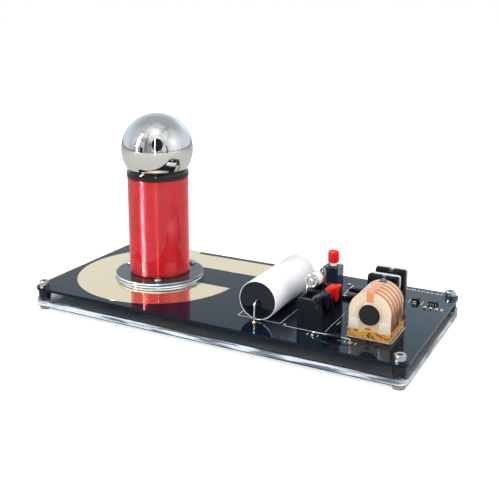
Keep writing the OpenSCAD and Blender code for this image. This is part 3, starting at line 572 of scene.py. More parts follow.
NICKEL = Finish("Nickel plate", "plated_electrode", (0.86, 0.87, 0.86), (0.72, 0.73, 0.73), 0.14,
                metallic=0.96, drift=400.0)
DARK_CHROME = Finish("Dark chrome wire", "tinned_wire", (0.58, 0.56, 0.54), (0.34, 0.33, 0.32), 0.07,
                     metallic=1.0, drift=500.0)
BRASS = Finish("Stamped brass", "brass_contact", (0.82, 0.62, 0.3), (0.7, 0.5, 0.22), 0.25,
               metallic=1.0)
WHITE = Finish("White plastic", "white_plastic", (0.84, 0.84, 0.85), (0.78, 0.78, 0.8), 0.3,
               subsurface=0.3)
MOULDED = Finish("Moulded black", "moulded_black", (0.003, 0.003, 0.004), (0.007, 0.007, 0.009),
                 0.22, grain=0.35, grain_scale=3500.0, ior=1.27)
TAB = Finish("Bright tab", "bright_tab", (0.93, 0.94, 0.95), (0.84, 0.85, 0.87), 0.22,
             metallic=0.9, grain=0.1, grain_scale=1500.0)
CREAM = BrownedLowBack("Cream bobbin", "cream_bobbin", (0.80, 0.69, 0.54), (0.72, 0.54, 0.37), 0.3,
                  grain=0.1, drift=110.0, subsurface=0.15)
WOUND = BrownedLowBack("Wound sections", "wound_sections", (0.66, 0.28, 0.12), (0.52, 0.19, 0.07), 0.3,
                  drift=150.0, coat=0.3)
FERRITE = Finish("Black ferrite", "black_ferrite", (0.008, 0.009, 0.011), (0.014, 0.015, 0.018),
                 0.5, grain=0.5, grain_scale=2200.0, ior=1.25)
AMBER = CastAmber("Amber resin", "amber_resin", (0.60, 0.20, 0.010), (1.0, 0.62, 0.15), 0.08,
                  drift=340.0, transmission=0.2, coat=0.45)
TAPE = Finish("Orange tape", "orange_tape", (0.70, 0.19, 0.03), (0.80, 0.37, 0.15), 0.16,
              drift=300.0)
GREY = Finish("Grey plate", "grey_plate", (0.03, 0.035, 0.04), (0.06, 0.065, 0.07), 0.3, grain=0.2)
PALE_LEG = Finish("Pale bobbin leg", "cream_bobbin", (0.74, 0.68, 0.56), (0.67, 0.60, 0.47), 0.28,
                  drift=200.0, grain=0.1)
SOAKED = Finish("Soaked panel", "cream_bobbin", (0.74, 0.56, 0.38), (0.60, 0.36, 0.19), 0.3,
                drift=420.0)
SCORCHED = Finish("Scorched resin", "amber_resin", (0.22, 0.045, 0.015), (0.32, 0.09, 0.03), 0.3)
TAN = Finish("Fired ceramic", "tan_ceramic", (0.60, 0.46, 0.28), (0.5, 0.38, 0.22), 0.4)


# Mesh making


@dataclass
class Shape:
    """Vertices and faces gathered from lofts and sweeps, in millimetres."""

    points: Ring = field(default_factory=list)
    faces: list[tuple[int, ...]] = field(default_factory=list)

    def loft(self, rings: Sequence[Ring], start: bool = True, end: bool = True,
             loop: bool = False) -> "Shape":
        """Joins closed rings of equal length with bands of faces.

        Args:
            rings: Rings of points, in order.
            start: Whether the first ring is closed with a face.
            end: Whether the last ring is closed with a face.
            loop: Whether the last ring joins the first.

        Returns:
            This shape, for chaining.
        """
        base, count, size = len(self.points), len(rings), len(rings[0])
        for ring in rings:
            self.points.extend(ring)
        for i in range(count if loop else count - 1):
            a, b = base + i * size, base + (i + 1) % count * size
            for k in range(size):
                n = (k + 1) % size
                self.faces.append((a + k, a + n, b + n, b + k))
        if start and not loop:
            self.faces.append(tuple(base + k for k in reversed(range(size))))
        if end and not loop:
            self.faces.append(tuple(base + (count - 1) * size + k for k in range(size)))
        return self

    def lathe(self, profile: Sequence[tuple[Radius, float]], at: Sequence[float],
              axis: Axis = Axis.UP, segments: int = 48, loop: bool = False,
              start: bool = True, end: bool = True) -> "Shape":
        """Turns a profile round an axis.

        Args:
            profile: Pairs of radius and height along the axis. A radius may change by angle.
            at: Foot of the axis.
            axis: Direction of the axis.
            segments: Points in each ring.
            loop: Whether the profile is closed.
            start: Whether the first ring is closed with a face.
            end: Whether the last ring is closed with a face.

        Returns:
            This shape, for chaining.
        """
        rings = [turned(at, axis, height, segments, radius) for radius, height in profile]
        return self.loft(rings, start, end, loop)

    def sweep(self, path: Ring, radius: float, sides: int = 8, loop: bool = False,
              up: Vector | None = None) -> "Shape":
        """Sweeps a round section along a path, with its frame carried along or held upright.

        Args:
            path: Points of the path.
            radius: Radius of the section.
            sides: Points in the section.
            loop: Whether the path is closed.
            up: Direction that holds a flat of the section outward, or None to carry the frame.

        Returns:
            This shape, for chaining.
        """
        count = len(path)
        rings = []
        normal = None
        for i, here in enumerate(path):
            before = path[i - 1] if loop else path[max(i - 1, 0)]
            after = path[(i + 1) % count] if loop else path[min(i + 1, count - 1)]
            along = (after - before).normalized()
            if up is not None:
                normal = up
            elif normal is None:
                normal = along.orthogonal()
            normal = (normal - along * normal.dot(along)).normalized()
            other = along.cross(normal)
            rings.append([here + (normal * math.cos(t) + other * math.sin(t)) * radius
                          for t in (2 * math.pi * (k + 0.5) / sides for k in range(sides))])
        return self.loft(rings, loop=loop)

    def prism(self, outline: Sequence[tuple[float, float]], at: Sequence[float], axis: Axis,
              depth: float) -> "Shape":
        """Extrudes a flat outline.

        Args:
            outline: Corners in the plane across the axis.
            at: Place of the outline's zero.
            axis: Direction of the extrusion.
            depth: Length of the extrusion.

        Returns:
            This shape, for chaining.
        """
        along, u, v = axis.value
        foot = Vector(at)
        flat = [foot + u * a + v * b for a, b in outline]
        return self.loft([flat, [p + along * depth for p in flat]])

    def block(self, low: Sequence[float], high: Sequence[float]) -> "Shape":
        """Adds a box between two corners, to be rounded when the piece is made."""
        outline = [(low[0], low[1]), (high[0], low[1]), (high[0], high[1]), (low[0], high[1])]
        return self.prism(outline, (0, 0, low[2]), Axis.UP, high[2] - low[2])

    def piece(self, name: str, finish: Finish, body: Body = Body.KIT,
              nodes: Sequence[str] = (), edge: float = 0.0, steps: int = 2,
              smooth: float = 35.0) -> bpy.types.Object:
        """Makes the object, rounds its edges, dresses it and puts it on its body.

        Args:
            name: Name of the piece.
            finish: Finish of the whole piece.
            body: Body that it rides on.
            nodes: Nodes of the frame that it stands for.
            edge: Radius of the rounded edges, or 0 for none.
            steps: Faces across a rounded edge.
            smooth: Largest angle that is shaded smooth, in degrees.

        Returns:
            The finished object.
        """
        mesh = bpy.data.meshes.new(name)
        mesh.from_pydata([p * MM for p in self.points], [], self.faces)
        form = bmesh.new()
        form.from_mesh(mesh)
        bmesh.ops.recalc_face_normals(form, faces=form.faces)
        if edge > 0:
            sharp = [e for e in form.edges if e.is_manifold
                     and e.calc_face_angle(0.0) > math.radians(30)]
            bmesh.ops.bevel(form, geom=sharp, offset=edge * MM, segments=steps, profile=0.5,
                            affect="EDGES", clamp_overlap=True)
        form.to_mesh(mesh)
        form.free()
        mesh.shade_smooth()
        mesh.set_sharp_from_angle(angle=math.radians(smooth))
        obj = bpy.data.objects.new(name, mesh)
        bpy.context.scene.collection.objects.link(obj)
        mesh.materials.append(finish.material())
        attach(obj, body.value)
        if nodes:
            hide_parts(*nodes)
        LOG.info("%s is built on %s", name, body.value)
        return obj


def turned(at: Sequence[float], axis: Axis, height: float, segments: int, radius: Radius) -> Ring:
    """Makes one ring round an axis.

    Args:
        at: Foot of the axis.
        axis: Direction of the axis.
        height: Height of the ring along the axis.
        segments: Points in the ring.
        radius: Radius, or a function that gives it by angle in radians.

    Returns:
        The ring's points.
    """
    along, u, v = axis.value
    middle = Vector(at) + along * height
    ring = []
    for k in range(segments):
        angle = 2 * math.pi * k / segments
        reach = radius(angle) if callable(radius) else radius
        ring.append(middle + (u * math.cos(angle) + v * math.sin(angle)) * reach)
    return ring


def hexagon(flats: float) -> Callable[[float], float]:
    """Gives the radius of a hexagon of that width across its flats, by angle."""
    return lambda a: flats / 2 / math.cos((a % (math.pi / 3)) - math.pi / 6)


def ribbed(radius: float, ribs: int, depth: float) -> Callable[[float], float]:
    """Gives the radius of a rod with round upright ribs, by angle."""
    return lambda a: radius - depth * (0.5 + 0.5 * math.cos(ribs * a))


def both_ends(half: Sequence[tuple[Radius, float]], length: float,
              middle: Sequence[Pair] = ()) -> list[tuple[Radius, float]]:
    """Adds the mirrored second half of a profile.

    Args:
        half: Pairs of radius and height of the first half.
        length: Height at which the whole profile ends, if the first half starts at 0.
        middle: Pairs between the two halves.

    Returns:
        The whole profile.
    """
    return [*half, *middle, *((radius, length - height) for radius, height in reversed(half))]


def arc(centre: Pair, radius: float, start: float, stop: float, steps: int) -> list[Pair]:
    """Gives points along an arc, with both of its ends.

    Args:
        centre: Middle of the arc.
        radius: Radius of the arc.
        start: Angle of the first point, in degrees.
        stop: Angle of the last point, in degrees.
        steps: Steps between the points.

    Returns:
        The points.
    """
    angles = [math.radians(start + (stop - start) * i / steps) for i in range(steps + 1)]
    return [(centre[0] + radius * math.cos(t), centre[1] + radius * math.sin(t)) for t in angles]


def round_path(corners: Sequence[Sequence[float]], bend: float, steps: int) -> Ring:
    """Rounds the corners of a path.

    Args:
        corners: Corner points.
        bend: Distance from each corner at which the bend starts.
        steps: Steps on each bend.

    Returns:
        Points along the rounded path.
    """
    points = [Vector(c) for c in corners]
    path = [points[0]]
    for i in range(1, len(points) - 1):
        here = points[i]
        into = here + (points[i - 1] - here).normalized() * bend
        out = here + (points[i + 1] - here).normalized() * bend
        for k in range(steps + 1):
            t = k / steps
            path.append(into * (1 - t) ** 2 + here * 2 * t * (1 - t) + out * t ** 2)
    path.append(points[-1])
    return path


def dress_node(name: str, finish: Finish, edge: float = 0.0) -> None:
    """Gives a node of the frame its finish and, where asked, rounded edges.

    Args:
        name: Name of the node.
        finish: Finish of the node.
        edge: Radius of the rounded edges, or 0 for none.
    """
    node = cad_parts[name]
    if not node.material_slots:
        node.data.materials.append(finish.material())
    for slot in node.material_slots:
        slot.material = finish.material()
    if edge > 0:
        bevel = node.modifiers.new("Rounded edges", "BEVEL")
        bevel.width = edge * MM
        bevel.segments = 2
        bevel.limit_method = "ANGLE"
        bevel.angle_limit = math.radians(40)
        bevel.harden_normals = True
    LOG.info("%s is dressed", name)


# Fasteners and solder that several assemblies use


@dataclass(frozen=True)
class SocketScrew:
    """Cap screw with a knurled head, a hexagon socket and a rolled thread.

    A chamfer is how far it is drawn in and how far it is from that end of the head.
    """

    head: float = 2.75
    height: float = 3.0
    foot_chamfer: Pair = (0.15, 0.12)
    rim_chamfers: tuple[Pair, ...] = ((0.1, 0.25), (0.35, 0.0))
    knurls: int = 32
    knurl_depth: float = 0.07
    knurl_end: float = 0.45
    socket: float = 2.5
    socket_depth: float = 1.6
    socket_chamfer: Pair = (0.12, 0.15)
    drill_tip: Pair = (0.25, 0.3)
    thread: float = 1.45
    pitch: float = 0.5

    def add(self, shape: Shape, x: float, y: float, top: float, foot: float) -> None:
        """Adds one screw whose head stands on a level.

        Args:
            shape: Shape that takes the screw.
            x: Place along X.
            y: Place along Y.
            top: Level under the head.
            foot: Level of the thread's tip.
        """
        flat = hexagon(self.socket)
        knurled = ribbed(self.head, self.knurls, self.knurl_depth)
        floor = self.height - self.socket_depth
        wider, lower = self.socket_chamfer
        profile = [(self.head - self.foot_chamfer[0], 0.0), (knurled, self.foot_chamfer[1]),
                   (knurled, self.height - self.knurl_end)]
        profile += [(self.head - inset, self.height - down) for inset, down in self.rim_chamfers]
        profile += [(lambda a: flat(a) + wider, self.height), (flat, self.height - lower),
                    (flat, floor), (self.drill_tip[0], floor - self.drill_tip[1])]
        shape.lathe(profile, (x, y, top), segments=96)
        add_thread(shape, (x, y, foot), top - foot, self.thread, self.pitch)


def add_thread(shape: Shape, at: Sequence[float], length: float, radius: float,
               pitch: float) -> None:
    """Adds an upright threaded rod whose ridge climbs as a helix.

    Args:
        shape: Shape that takes the rod.
        at: Foot of the rod.
        length: Length of the rod.
        radius: Outer radius of the thread.
        pitch: Height of one turn.
    """
    depth, steps_per_turn = 0.44 * pitch, 6

    def ridge(height: float) -> Callable[[float], float]:
        """Gives the thread's radius at a height, by angle."""
        return lambda a: radius - depth * abs(2 * ((height / pitch + a / (2 * math.pi)) % 1) - 1)

    count = int(length / pitch * steps_per_turn)
    levels = [length * i / count for i in range(count + 1)]
    shape.lathe([(ridge(height), height) for height in levels], at, segments=20)


def add_nut(shape: Shape, at: Sequence[float], flats: float, thick: float, bore: float) -> None:
    """Adds a hexagon nut with chamfered corners.

    Args:
        shape: Shape that takes the nut.
        at: Middle of its underside.
        flats: Width across the flats.
        thick: Thickness.
        bore: Radius of the bore.
    """
    side, cut = hexagon(flats), flats / 2 * 1.02
    bore_chamfer, corner_chamfer = 0.25, 0.3
    half = [(bore, bore_chamfer), (bore + bore_chamfer, 0.0), (lambda a: min(side(a), cut), 0.0),
            (side, corner_chamfer)]
    shape.lathe(both_ends(half, thick), at, loop=True)


def add_solder(shape: Shape, at: Sequence[float], inner: float, outer: float, height: float,
               axis: Axis = Axis.UP) -> None:
    """Adds a hollow cone of solder with a curved flank.

    Args:
        shape: Shape that takes the solder.
        at: Middle of its foot.
        inner: Radius of the pin inside it.
        outer: Radius of its foot.
        height: Height up the pin.
        axis: Direction of the pin.
    """
    hollow, shares = inner * 0.6, (0.0, 0.15, 0.3, 0.5, 0.7, 0.85, 1.0)
    flank = [(inner + (outer - inner) * (1 - t) ** 2, height * t) for t in shares]
    shape.lathe([(hollow, 0.0), *flank, (hollow, height)], at, axis, 24, loop=True)


# Sub-assemblies


@dataclass
class BoardStack:
    """Clear base plate, circuit board with its metal and print, and the corner stacks."""

    length: float = 210.0
    width: float = 98.0
    corner: float = 4.3
    screw_inset: float = 4.3
    screw_foot: float = 1.0
    plate_low: float = 2.4
    plate_high: float = 6.4
    # inset and levels of the painted highlight band inside the plate's rim
    highlight_inset: float = 0.14
    highlight_low: float = 0.45
    highlight_high: float = 0.75
    spacer: float = 3.35
    spacer_chamfer: float = 0.25
    spacer_bore: float = 1.6
    bore_chamfer: float = 0.2
    nut: float = 5.5
    nut_bore: float = 1.5

    def outline(self, inset: float) -> list[Pair]:
        """Gives the outline of the plates, with round corners.

        Args:
            inset: Distance drawn in from the edge.

        Returns:
            The outline's points.
        """
        points = []
        for k, (sx, sy) in enumerate(((1, 1), (-1, 1), (-1, -1), (1, -1))):
            x = sx * (self.length / 2 - self.corner)
            y = sy * (self.width / 2 - self.corner)
            points += arc((x, y), self.corner - inset, 90 * k, 90 * k + 90, 10)
        return points

    def corners(self) -> list[Pair]:
        """Gives the places of the four corner screws."""
        x, y = self.length / 2 - self.screw_inset, self.width / 2 - self.screw_inset
        return [(sx * x, sy * y) for sx in (-1, 1) for sy in (-1, 1)]

    def build(self) -> None:
        """Dresses the plates, builds the painted highlight band along the plate's cut edge and
        builds the corner stacks.
        """
        dress_node("base_plate", SHADED_BASE_SHEET, edge=0.3)
        dress_node("circuit_board", LACQUER, edge=0.12)
        dress_node("primary_trace", TRACE)
        dress_node("board_markings", PRINT)
        dress_node("solder_pads", GILT)
        # a pale glowing band just inside the plate's rim: a painted highlight along its cut edge
        outside, inside = self.highlight_inset, self.highlight_inset + HIGHLIGHT_DEPTH
        low, high = self.plate_low + self.highlight_low, self.plate_high - self.highlight_high
        rings = [[Vector((x, y, z)) for x, y in self.outline(inset)]
                 for inset, z in ((outside, low), (outside, high), (inside, high), (inside, low))]
        Shape().loft(rings, loop=True).piece("plate_edge_highlight", PAINTED_EDGE_HIGHLIGHT)
        screws, spacers, nuts = Shape(), Shape(), Shape()
        half = [(self.spacer_bore, self.bore_chamfer), (self.spacer_bore + self.bore_chamfer, 0.0),
                (self.spacer - self.spacer_chamfer, 0.0), (self.spacer, self.spacer_chamfer)]
        for x, y in self.corners():
            SocketScrew().add(screws, x, y, BOARD_TOP, self.screw_foot)
            spacers.lathe(both_ends(half, BOARD_UNDER - self.plate_high), (x, y, self.plate_high),
                          loop=True)
            add_nut(nuts, (x, y, 0.0), self.nut, self.plate_low, self.nut_bore)
        screws.piece("corner_cap_screws", STEEL, nodes=("corner_screws",), smooth=28)
        spacers.piece("corner_spacer_rounds", NYLON, nodes=("corner_spacers",))
        nuts.piece("corner_hex_nuts", STEEL, nodes=("corner_nuts",), smooth=25)


@dataclass
class ResonatorCoil:
    """Clear disc and tube, fine red winding, black seat ring and mirror ball.

    The tables are pairs of radius or inset and height: the dome and the recess of the disc's
    screws from under the head, and the seat ring's side from its foot.
    """

    x: float = -55.0
    y: float = 1.5
    disc: float = 25.0
    disc_top: float = 16.0
    disc_thick: float = 3.0
    # inset and heights of the two painted highlight bands inside the disc's rim
    highlight_inset: float = 0.1
    bands: tuple[Pair, ...] = ((0.3, 1.25), (1.85, 2.75))
    screw_circle: float = 20.5
    screw_angles: tuple[float, ...] = (-60, 60, 180)
    screw_foot: float = 9.4
    screw_thread: Pair = (0.95, 0.4)
    screw_dome: tuple[Pair, ...] = ((1.75, 0.0), (1.9, 0.25), (1.86, 0.7), (1.66, 1.15),
                                    (1.3, 1.5), (1.0, 1.68))
    cross_core: float = 0.28
    cross_arm: float = 0.62
    cross_chamfer: float = 0.06
    cross_tip_share: float = 0.4
    cross_levels: Triple = (1.72, 1.62, 0.8)
    nut: float = 4.0
    nut_thick: float = 1.6
    nut_bore: float = 1.0
    tube_bore: float = 13.5
    tube: float = 15.0
    winding: float = 17.0
    winding_low: float = 16.7
    winding_high: float = 70.7
    wire: float = 0.27
    wire_gap: float = 0.05
    pitch: float = 0.3
    turn_steps: int = 54
    end_rise: float = 0.7
    end_slope: float = 4.0
    end_level: float = 0.85
    end_inset: float = 0.3
    end_turns: Pair = (0.02, 0.015)
    film: float = 0.02
    film_fade: float = 0.2
    skirt_bore: float = 12.75
    skirt: float = 13.35
    skirt_depth: float = 4.0
    seat: float = 17.25
    seat_low: float = 71.0
    seat_high: float = 74.3
    seat_side: tuple[Pair, ...] = ((0.3, 0.0), (0.0, 0.3), (0.0, 1.3), (0.4, 1.45), (0.4, 1.75),
                                   (0.0, 1.9), (0.0, 2.95), (0.12, 3.2), (0.35, 3.3))
    ball: float = 19.8
    ball_z: float = 86.3
    ball_gap: float = 0.05

    def build(self) -> None:
        """Builds the coil from the disc up."""
        dress_node("coil_base_disc", DISC, edge=0.25)
        # two pale glowing bands just inside the disc's rim: painted highlights on its cut edge
        outside = self.disc - self.highlight_inset
        inside = outside - HIGHLIGHT_DEPTH
        bands = Shape()
        for low, high in self.bands:
            bands.lathe([(outside, low), (outside, high), (inside, high), (inside, low)],
                        (self.x, self.y, self.disc_top - self.disc_thick), segments=128, loop=True)
        bands.piece("disc_edge_highlight", PAINTED_EDGE_HIGHLIGHT)
        dress_node("coil_tube", ACRYLIC, edge=0.15)
        self.build_screws()
        self.build_winding()
        self.build_seat()
        round_side = arc((0.0, 0.0), self.ball, -90, 90, 96)[1:-1]
        profile = [(CENTRE, -self.ball), *round_side, (CENTRE, self.ball)]
        Shape().lathe(profile, (self.x, self.y, self.ball_z), segments=144).piece(
            "mirror_ball", MIRROR, nodes=("discharge_ball",), smooth=60)

    def build_screws(self) -> None:
        """Builds the round head screws with cross recesses, and their nuts."""
        def cross(angle: float) -> float:
            """Gives the recess's radius by angle."""
            return self.cross_core + self.cross_arm * max(0.0, math.cos(4 * angle)) ** 2

        rim, wall, tip = self.cross_levels
        profile = [*self.screw_dome, (lambda a: cross(a) + self.cross_chamfer, rim),
                   (cross, wall), (lambda a: cross(a) * self.cross_tip_share, tip)]
        screws, nuts = Shape(), Shape()
        for degrees in self.screw_angles:
            t = math.radians(degrees)
            x = self.x + self.screw_circle * math.cos(t)
            y = self.y + self.screw_circle * math.sin(t)
            screws.lathe(profile, (x, y, self.disc_top))
            add_thread(screws, (x, y, self.screw_foot), self.disc_top - self.screw_foot,
                       *self.screw_thread)
            add_nut(nuts, (x, y, BOARD_UNDER - self.nut_thick), self.nut, self.nut_thick,
                    self.nut_bore)
        screws.piece("disc_round_screws", STEEL, nodes=("disc_screws",), smooth=40)
        nuts.piece("disc_hex_nuts", STEEL, nodes=("disc_nuts",), smooth=25)

    def build_winding(self) -> None:
        """Builds the winding as one unbroken wire, in through the tube at both ends."""
        r = self.winding - self.wire / 2
        start = self.tube + self.wire / 2 + self.wire_gap
        turns_in = (r - start) / self.pitch
        low, high = self.winding_low + self.wire / 2, self.winding_high - self.wire / 2
        turns_up = (high - low) / self.pitch
        flat_steps, up_steps = turns_in * self.turn_steps, int(turns_up * self.turn_steps)
        path: Ring = []

        def add(radius: float, turn: float, z: float) -> None:
            """Adds one point of the wire."""
            a = 2 * math.pi * turn
            path.append(Vector((self.x + radius * math.cos(a), self.y + radius * math.sin(a), z)))

        def rise(share: float) -> float:
            """Gives the wire's distance from the winding's end, by its share of the flat turns."""
            return max(0.0, self.end_rise - share * turns_in * self.end_slope)

        ends = [(radius - self.end_inset, past)
                for radius, past in zip((self.tube_bore, self.tube), self.end_turns)]
        for radius, past in ends:
            add(radius, -turns_in - past, self.winding_low + self.end_level)
        for i in range(int(flat_steps)):
            share = i / flat_steps
            add(start + (r - start) * share, -turns_in + turns_in * share, low + rise(share))
        for i in range(up_steps + 1):
            add(r, turns_up * i / up_steps, low + (high - low) * i / up_steps)
        for i in range(1, int(flat_steps)):
            share = i / flat_steps
            add(r - (r - start) * share, turns_up + turns_in * share, high - rise(1 - share))
        for radius, past in reversed(ends):
            add(radius, turns_up + turns_in + past, self.winding_high - self.end_level)
        Shape().sweep(path, self.wire / 2, up=Vector((0, 0, 1))).piece(
            "fine_wire_winding", ENAMEL, nodes=("secondary_winding",), smooth=80)
        half = [(self.winding + self.film / 2, self.winding_low + self.film),
                (self.winding + self.film, self.winding_low + self.film_fade)]
        Shape().lathe(both_ends(half, self.winding_low + self.winding_high),
                      (self.x, self.y, 0.0), segments=160, start=False, end=False).piece(
            "varnish_film", VARNISH)

    def build_seat(self) -> None:
        """Builds the black ring that the ball rests in."""
        def cup(height: float) -> Pair:
            """Gives a point on the cup just outside the ball at a height."""
            return math.sqrt((self.ball + self.ball_gap) ** 2 - (self.ball_z - height) ** 2), height

        foot = self.seat_low - self.skirt_depth
        profile = [(self.skirt_bore, foot), (self.skirt, foot), (self.skirt, self.seat_low)]
        profile += [(self.seat - inset, self.seat_low + up) for inset, up in self.seat_side]
        profile += [cup(self.seat_high - down) for down in range(4)]
        Shape().lathe(profile, (self.x, self.y, 0.0), segments=128, loop=True).piece(
            "ball_seat_ring", RING_BLACK, nodes=("top_seat",), smooth=40)


@dataclass
class FilmCapacitor:
    """White sleeved capacitor with resin ends and bent leads.

    The tables are distances from the sleeve's outside, the lead or the sleeve's inside, each
    with a height from the end or from the resin's face.
    """

    x: float = 25.194
    y: float = -9.4
    z: float = 23.25
    radius: float = 9.95
    length: float = 48.5
    wall: float = 0.4
    lead: float = 0.5
    pin: float = 27.2
    rolled_rim: tuple[Pair, ...] = ((0.4, 0.3), (0.32, 0.08), (0.16, 0.0), (0.1, 0.05), (0.0, 0.2))
    resin_inset: float = 0.25
    resin_at_lead: tuple[Pair, ...] = ((0.0, -3.6), (0.0, 0.14), (0.5, 0.03), (1.4, -0.02))
    resin_at_sleeve: tuple[Pair, ...] = ((1.2, -0.02), (0.4, 0.03), (0.06, 0.18), (0.06, -3.6))
    bump: float = 1.35
    bump_height: float = 0.9

    def build(self) -> None:
        """Builds the sleeve, the resin ends and the solder round the leads."""
        half = self.length / 2
        rim = [(self.radius - inset, up - half) for inset, up in self.rolled_rim]
        Shape().lathe(both_ends(rim, 0.0), (self.x, self.y, self.z), Axis.ALONG_Y, 128,
                      loop=True).piece("rounded_sleeve", SLEEVE, nodes=("capacitor_sleeve",))
        inside = self.radius - self.wall
        face = [(self.lead + out, up) for out, up in self.resin_at_lead]
        face += [(inside - inset, up) for inset, up in self.resin_at_sleeve]
        ends, bumps = Shape(), Shape()
        for axis, side in ((Axis.FRONT, -1), (Axis.ALONG_Y, 1)):
            foot = self.y + side * (half - self.resin_inset)
            ends.lathe(face, (self.x, foot, self.z), axis, 96, loop=True)
            add_solder(bumps, (self.x, self.y + side * self.pin, BOARD_TOP), self.lead, self.bump,
                       self.bump_height)
        ends.piece("resin_ends", RESIN, nodes=("capacitor_end_fill",))
        dress_node("capacitor_roll", FILM)
        dress_node("capacitor_leads", TINNED)
        bumps.piece("lead_solder_bumps", GILT, smooth=60)

    def pins(self) -> list[Triple]:
        """Lists the place and the radius of each pin that comes out under the board."""
        return [(self.x, self.y + side * self.pin, self.lead) for side in (-1, 1)]


@dataclass
class LeverTerminal:
    """Two-pole terminal block with clips, pin and pressing levers.

    The block's rims, seam and rails are small ribs on its faces. A lever's pad is an outline of
    distances from the pivot, with a side of the pole and how far it is drawn in there, and its
    tongue is an outline from the pole's middle and the block's top.
    """

    x: float = 45.91
    y: float = -32.5
    width: float = 13.0
    length: float = 26.9
    top: float = 28.0
    poles: Pair = (-25.375, -12.725)
    pivot: Pair = (55.81, 25.4)
    rib_height: float = 0.16
    rib_sunk: float = 0.1
    rim: float = 4.3
    rim_half: float = 0.15
    rim_span: Pair = (0.7, 6.5)
    rim_end: Pair = (0.55, 0.8)
    seam_height: float = 0.12
    seam_inset: float = 0.5
    seam_width: float = 0.4
    seam_top: float = 0.9
    rails: Pair = (6.1, 6.6)
    rail_width: float = 0.2
    rail_height: float = 0.1
    rail_sunk: float = 0.02
    rail_low: float = 0.3
    rail_top: float = 7.0
    loop_place: Triple = (5.0, 2.4, -0.1)
    loop_radii: Pair = (0.9, 1.1)
    loop_wire: float = 0.2
    half: float = 5.1
    pad: tuple[tuple[float, int, float], ...] = (
        (-1.66, -1, 0.0), (0.79, -1, 0.0), (2.79, -1, 1.5), (4.59, -1, 3.2), (4.59, 1, 3.6),
        (2.99, 1, 2.2), (0.99, 1, 1.0), (-1.66, 1, 1.0))
    pad_gap: float = 0.3
    pad_thick: float = 1.0
    pad_rise: float = 0.36
    ridges: tuple[Pair, ...] = ((1.09, 1.6), (2.19, 2.3), (3.29, 3.2))
    ridge_width: float = 0.5
    ridge_height: float = 0.28
    ridge_inset: float = 0.9
    post_half: float = 1.4
    post_top: float = 0.5
    hub: Pair = (0.86, 1.5)
    tongue: tuple[Pair, ...] = ((-2.9, 0.5), (2.6, 0.5), (2.0, -2.2), (2.5, -3.5), (0.9, -6.1),
                                (-0.9, -6.1), (-2.5, -3.2))
    tongue_inset: float = 1.55
    tongue_thick: float = 1.5
    pin_places: Pair = (3.2, 9.4)
    pin: float = 0.5

    def build(self) -> None:
        """Dresses the block and builds its trim and its levers."""
        dress_node("terminal_housing", HOUSING, edge=0.12)
        dress_node("terminal_contacts", COPPER)
        dress_node("lever_pin", BLACKENED, edge=0.1)
        self.build_trim()
        for body, finish, y, node in ((Body.FRONT_LEVER, HOUSING, self.poles[0], "black_lever"),
                                      (Body.REAR_LEVER, RED, self.poles[1], "red_lever")):
            self.lever(y).piece(f"{node}_handle", finish, body, (node,), edge=0.35, steps=3)
        at = Vector((self.x, self.poles[1], self.top)) + Vector(self.loop_place)
        wide, deep = self.loop_radii
        path = [at + Vector((wide * math.cos(t), deep * math.sin(t), wide * math.cos(t)))
                for t in (2 * math.pi * k / 28 for k in range(28))]
        Shape().sweep(path, self.loop_wire, loop=True).piece("clip_spring_loop", COPPER)

    def build_trim(self) -> None:
        """Builds the raised rims, the mould seam and the rails of the block."""
        trim = Shape()
        x0, x1 = self.x, self.x + self.width
        low, high = self.top - self.rib_sunk, self.top + self.rib_height
        reach = self.rim + self.rim_half
        for y in self.poles:
            for middle in (y - self.rim, y + self.rim):
                trim.block((x0 + self.rim_span[0], middle - self.rim_half, low),
                           (x0 + self.rim_span[1], middle + self.rim_half, high))
            trim.block((x0 + self.rim_end[0], y - reach, low),
                       (x0 + self.rim_end[1], y + reach, high))
        left, foot = x0 + self.seam_inset, BOARD_TOP + self.seam_width
        for front, back in ((self.y - self.seam_height, self.y),
                            (self.y + self.length, self.y + self.length + self.seam_height)):
            trim.block((left, front, foot), (left + self.seam_width, back, self.top - self.seam_top))
            trim.block((left, front, foot), (x1 - self.seam_inset, back, foot + self.seam_width))
        for y in (self.poles[0] + rail for rail in self.rails):
            trim.block((x1 - self.rail_sunk, y, BOARD_TOP + self.rail_low),
                       (x1 + self.rail_height, y + self.rail_width, self.top - self.rail_top))
        trim.piece("block_ribs", RIM_BLACK, edge=0.05, steps=1)

    def lever(self, y: float) -> Shape:
        """Builds one lever at rest.

        Args:
            y: Middle of its pole.

        Returns:
            The lever's shape.
        """
        shape, half = Shape(), self.half
        px, pz = self.pivot
        plan = [(px + out, y + side * (half - draw)) for out, side, draw in self.pad]
        foot = self.top + self.pad_gap
        shape.prism(plan, (0.0, 0.0, foot), Axis.UP, self.pad_thick)
        high = foot + self.pad_thick
        for out, draw in self.ridges:
            x = px + out
            shape.block((x, y - half + draw, high - self.rib_sunk),
                        (x + self.ridge_width, y + half - draw - self.ridge_inset,
                         high + self.ridge_height))
        for point in shape.points:
            point.z += self.pad_rise * max(0.0, point.x - plan[1][0])
        shape.block((px - self.post_half, y - half, pz),
                    (px + self.post_half, y + half, self.top + self.post_top))
        bore, hub = self.hub
        shape.lathe(both_ends([(bore, -half), (hub, -half)], 0.0), (px, y, pz), Axis.ALONG_Y, 32,
                    loop=True)
        tongue = [(y + across, self.top + up) for across, up in self.tongue]
        shape.prism(tongue, (self.x + self.width - self.tongue_inset, 0.0, 0.0), Axis.ALONG_X,
                    self.tongue_thick)
        return shape

    def pins(self) -> list[Triple]:
        """Lists the place and the radius of each pin that comes out under the board."""
        return [(self.x + place, y, self.pin) for place in self.pin_places for y in self.poles]


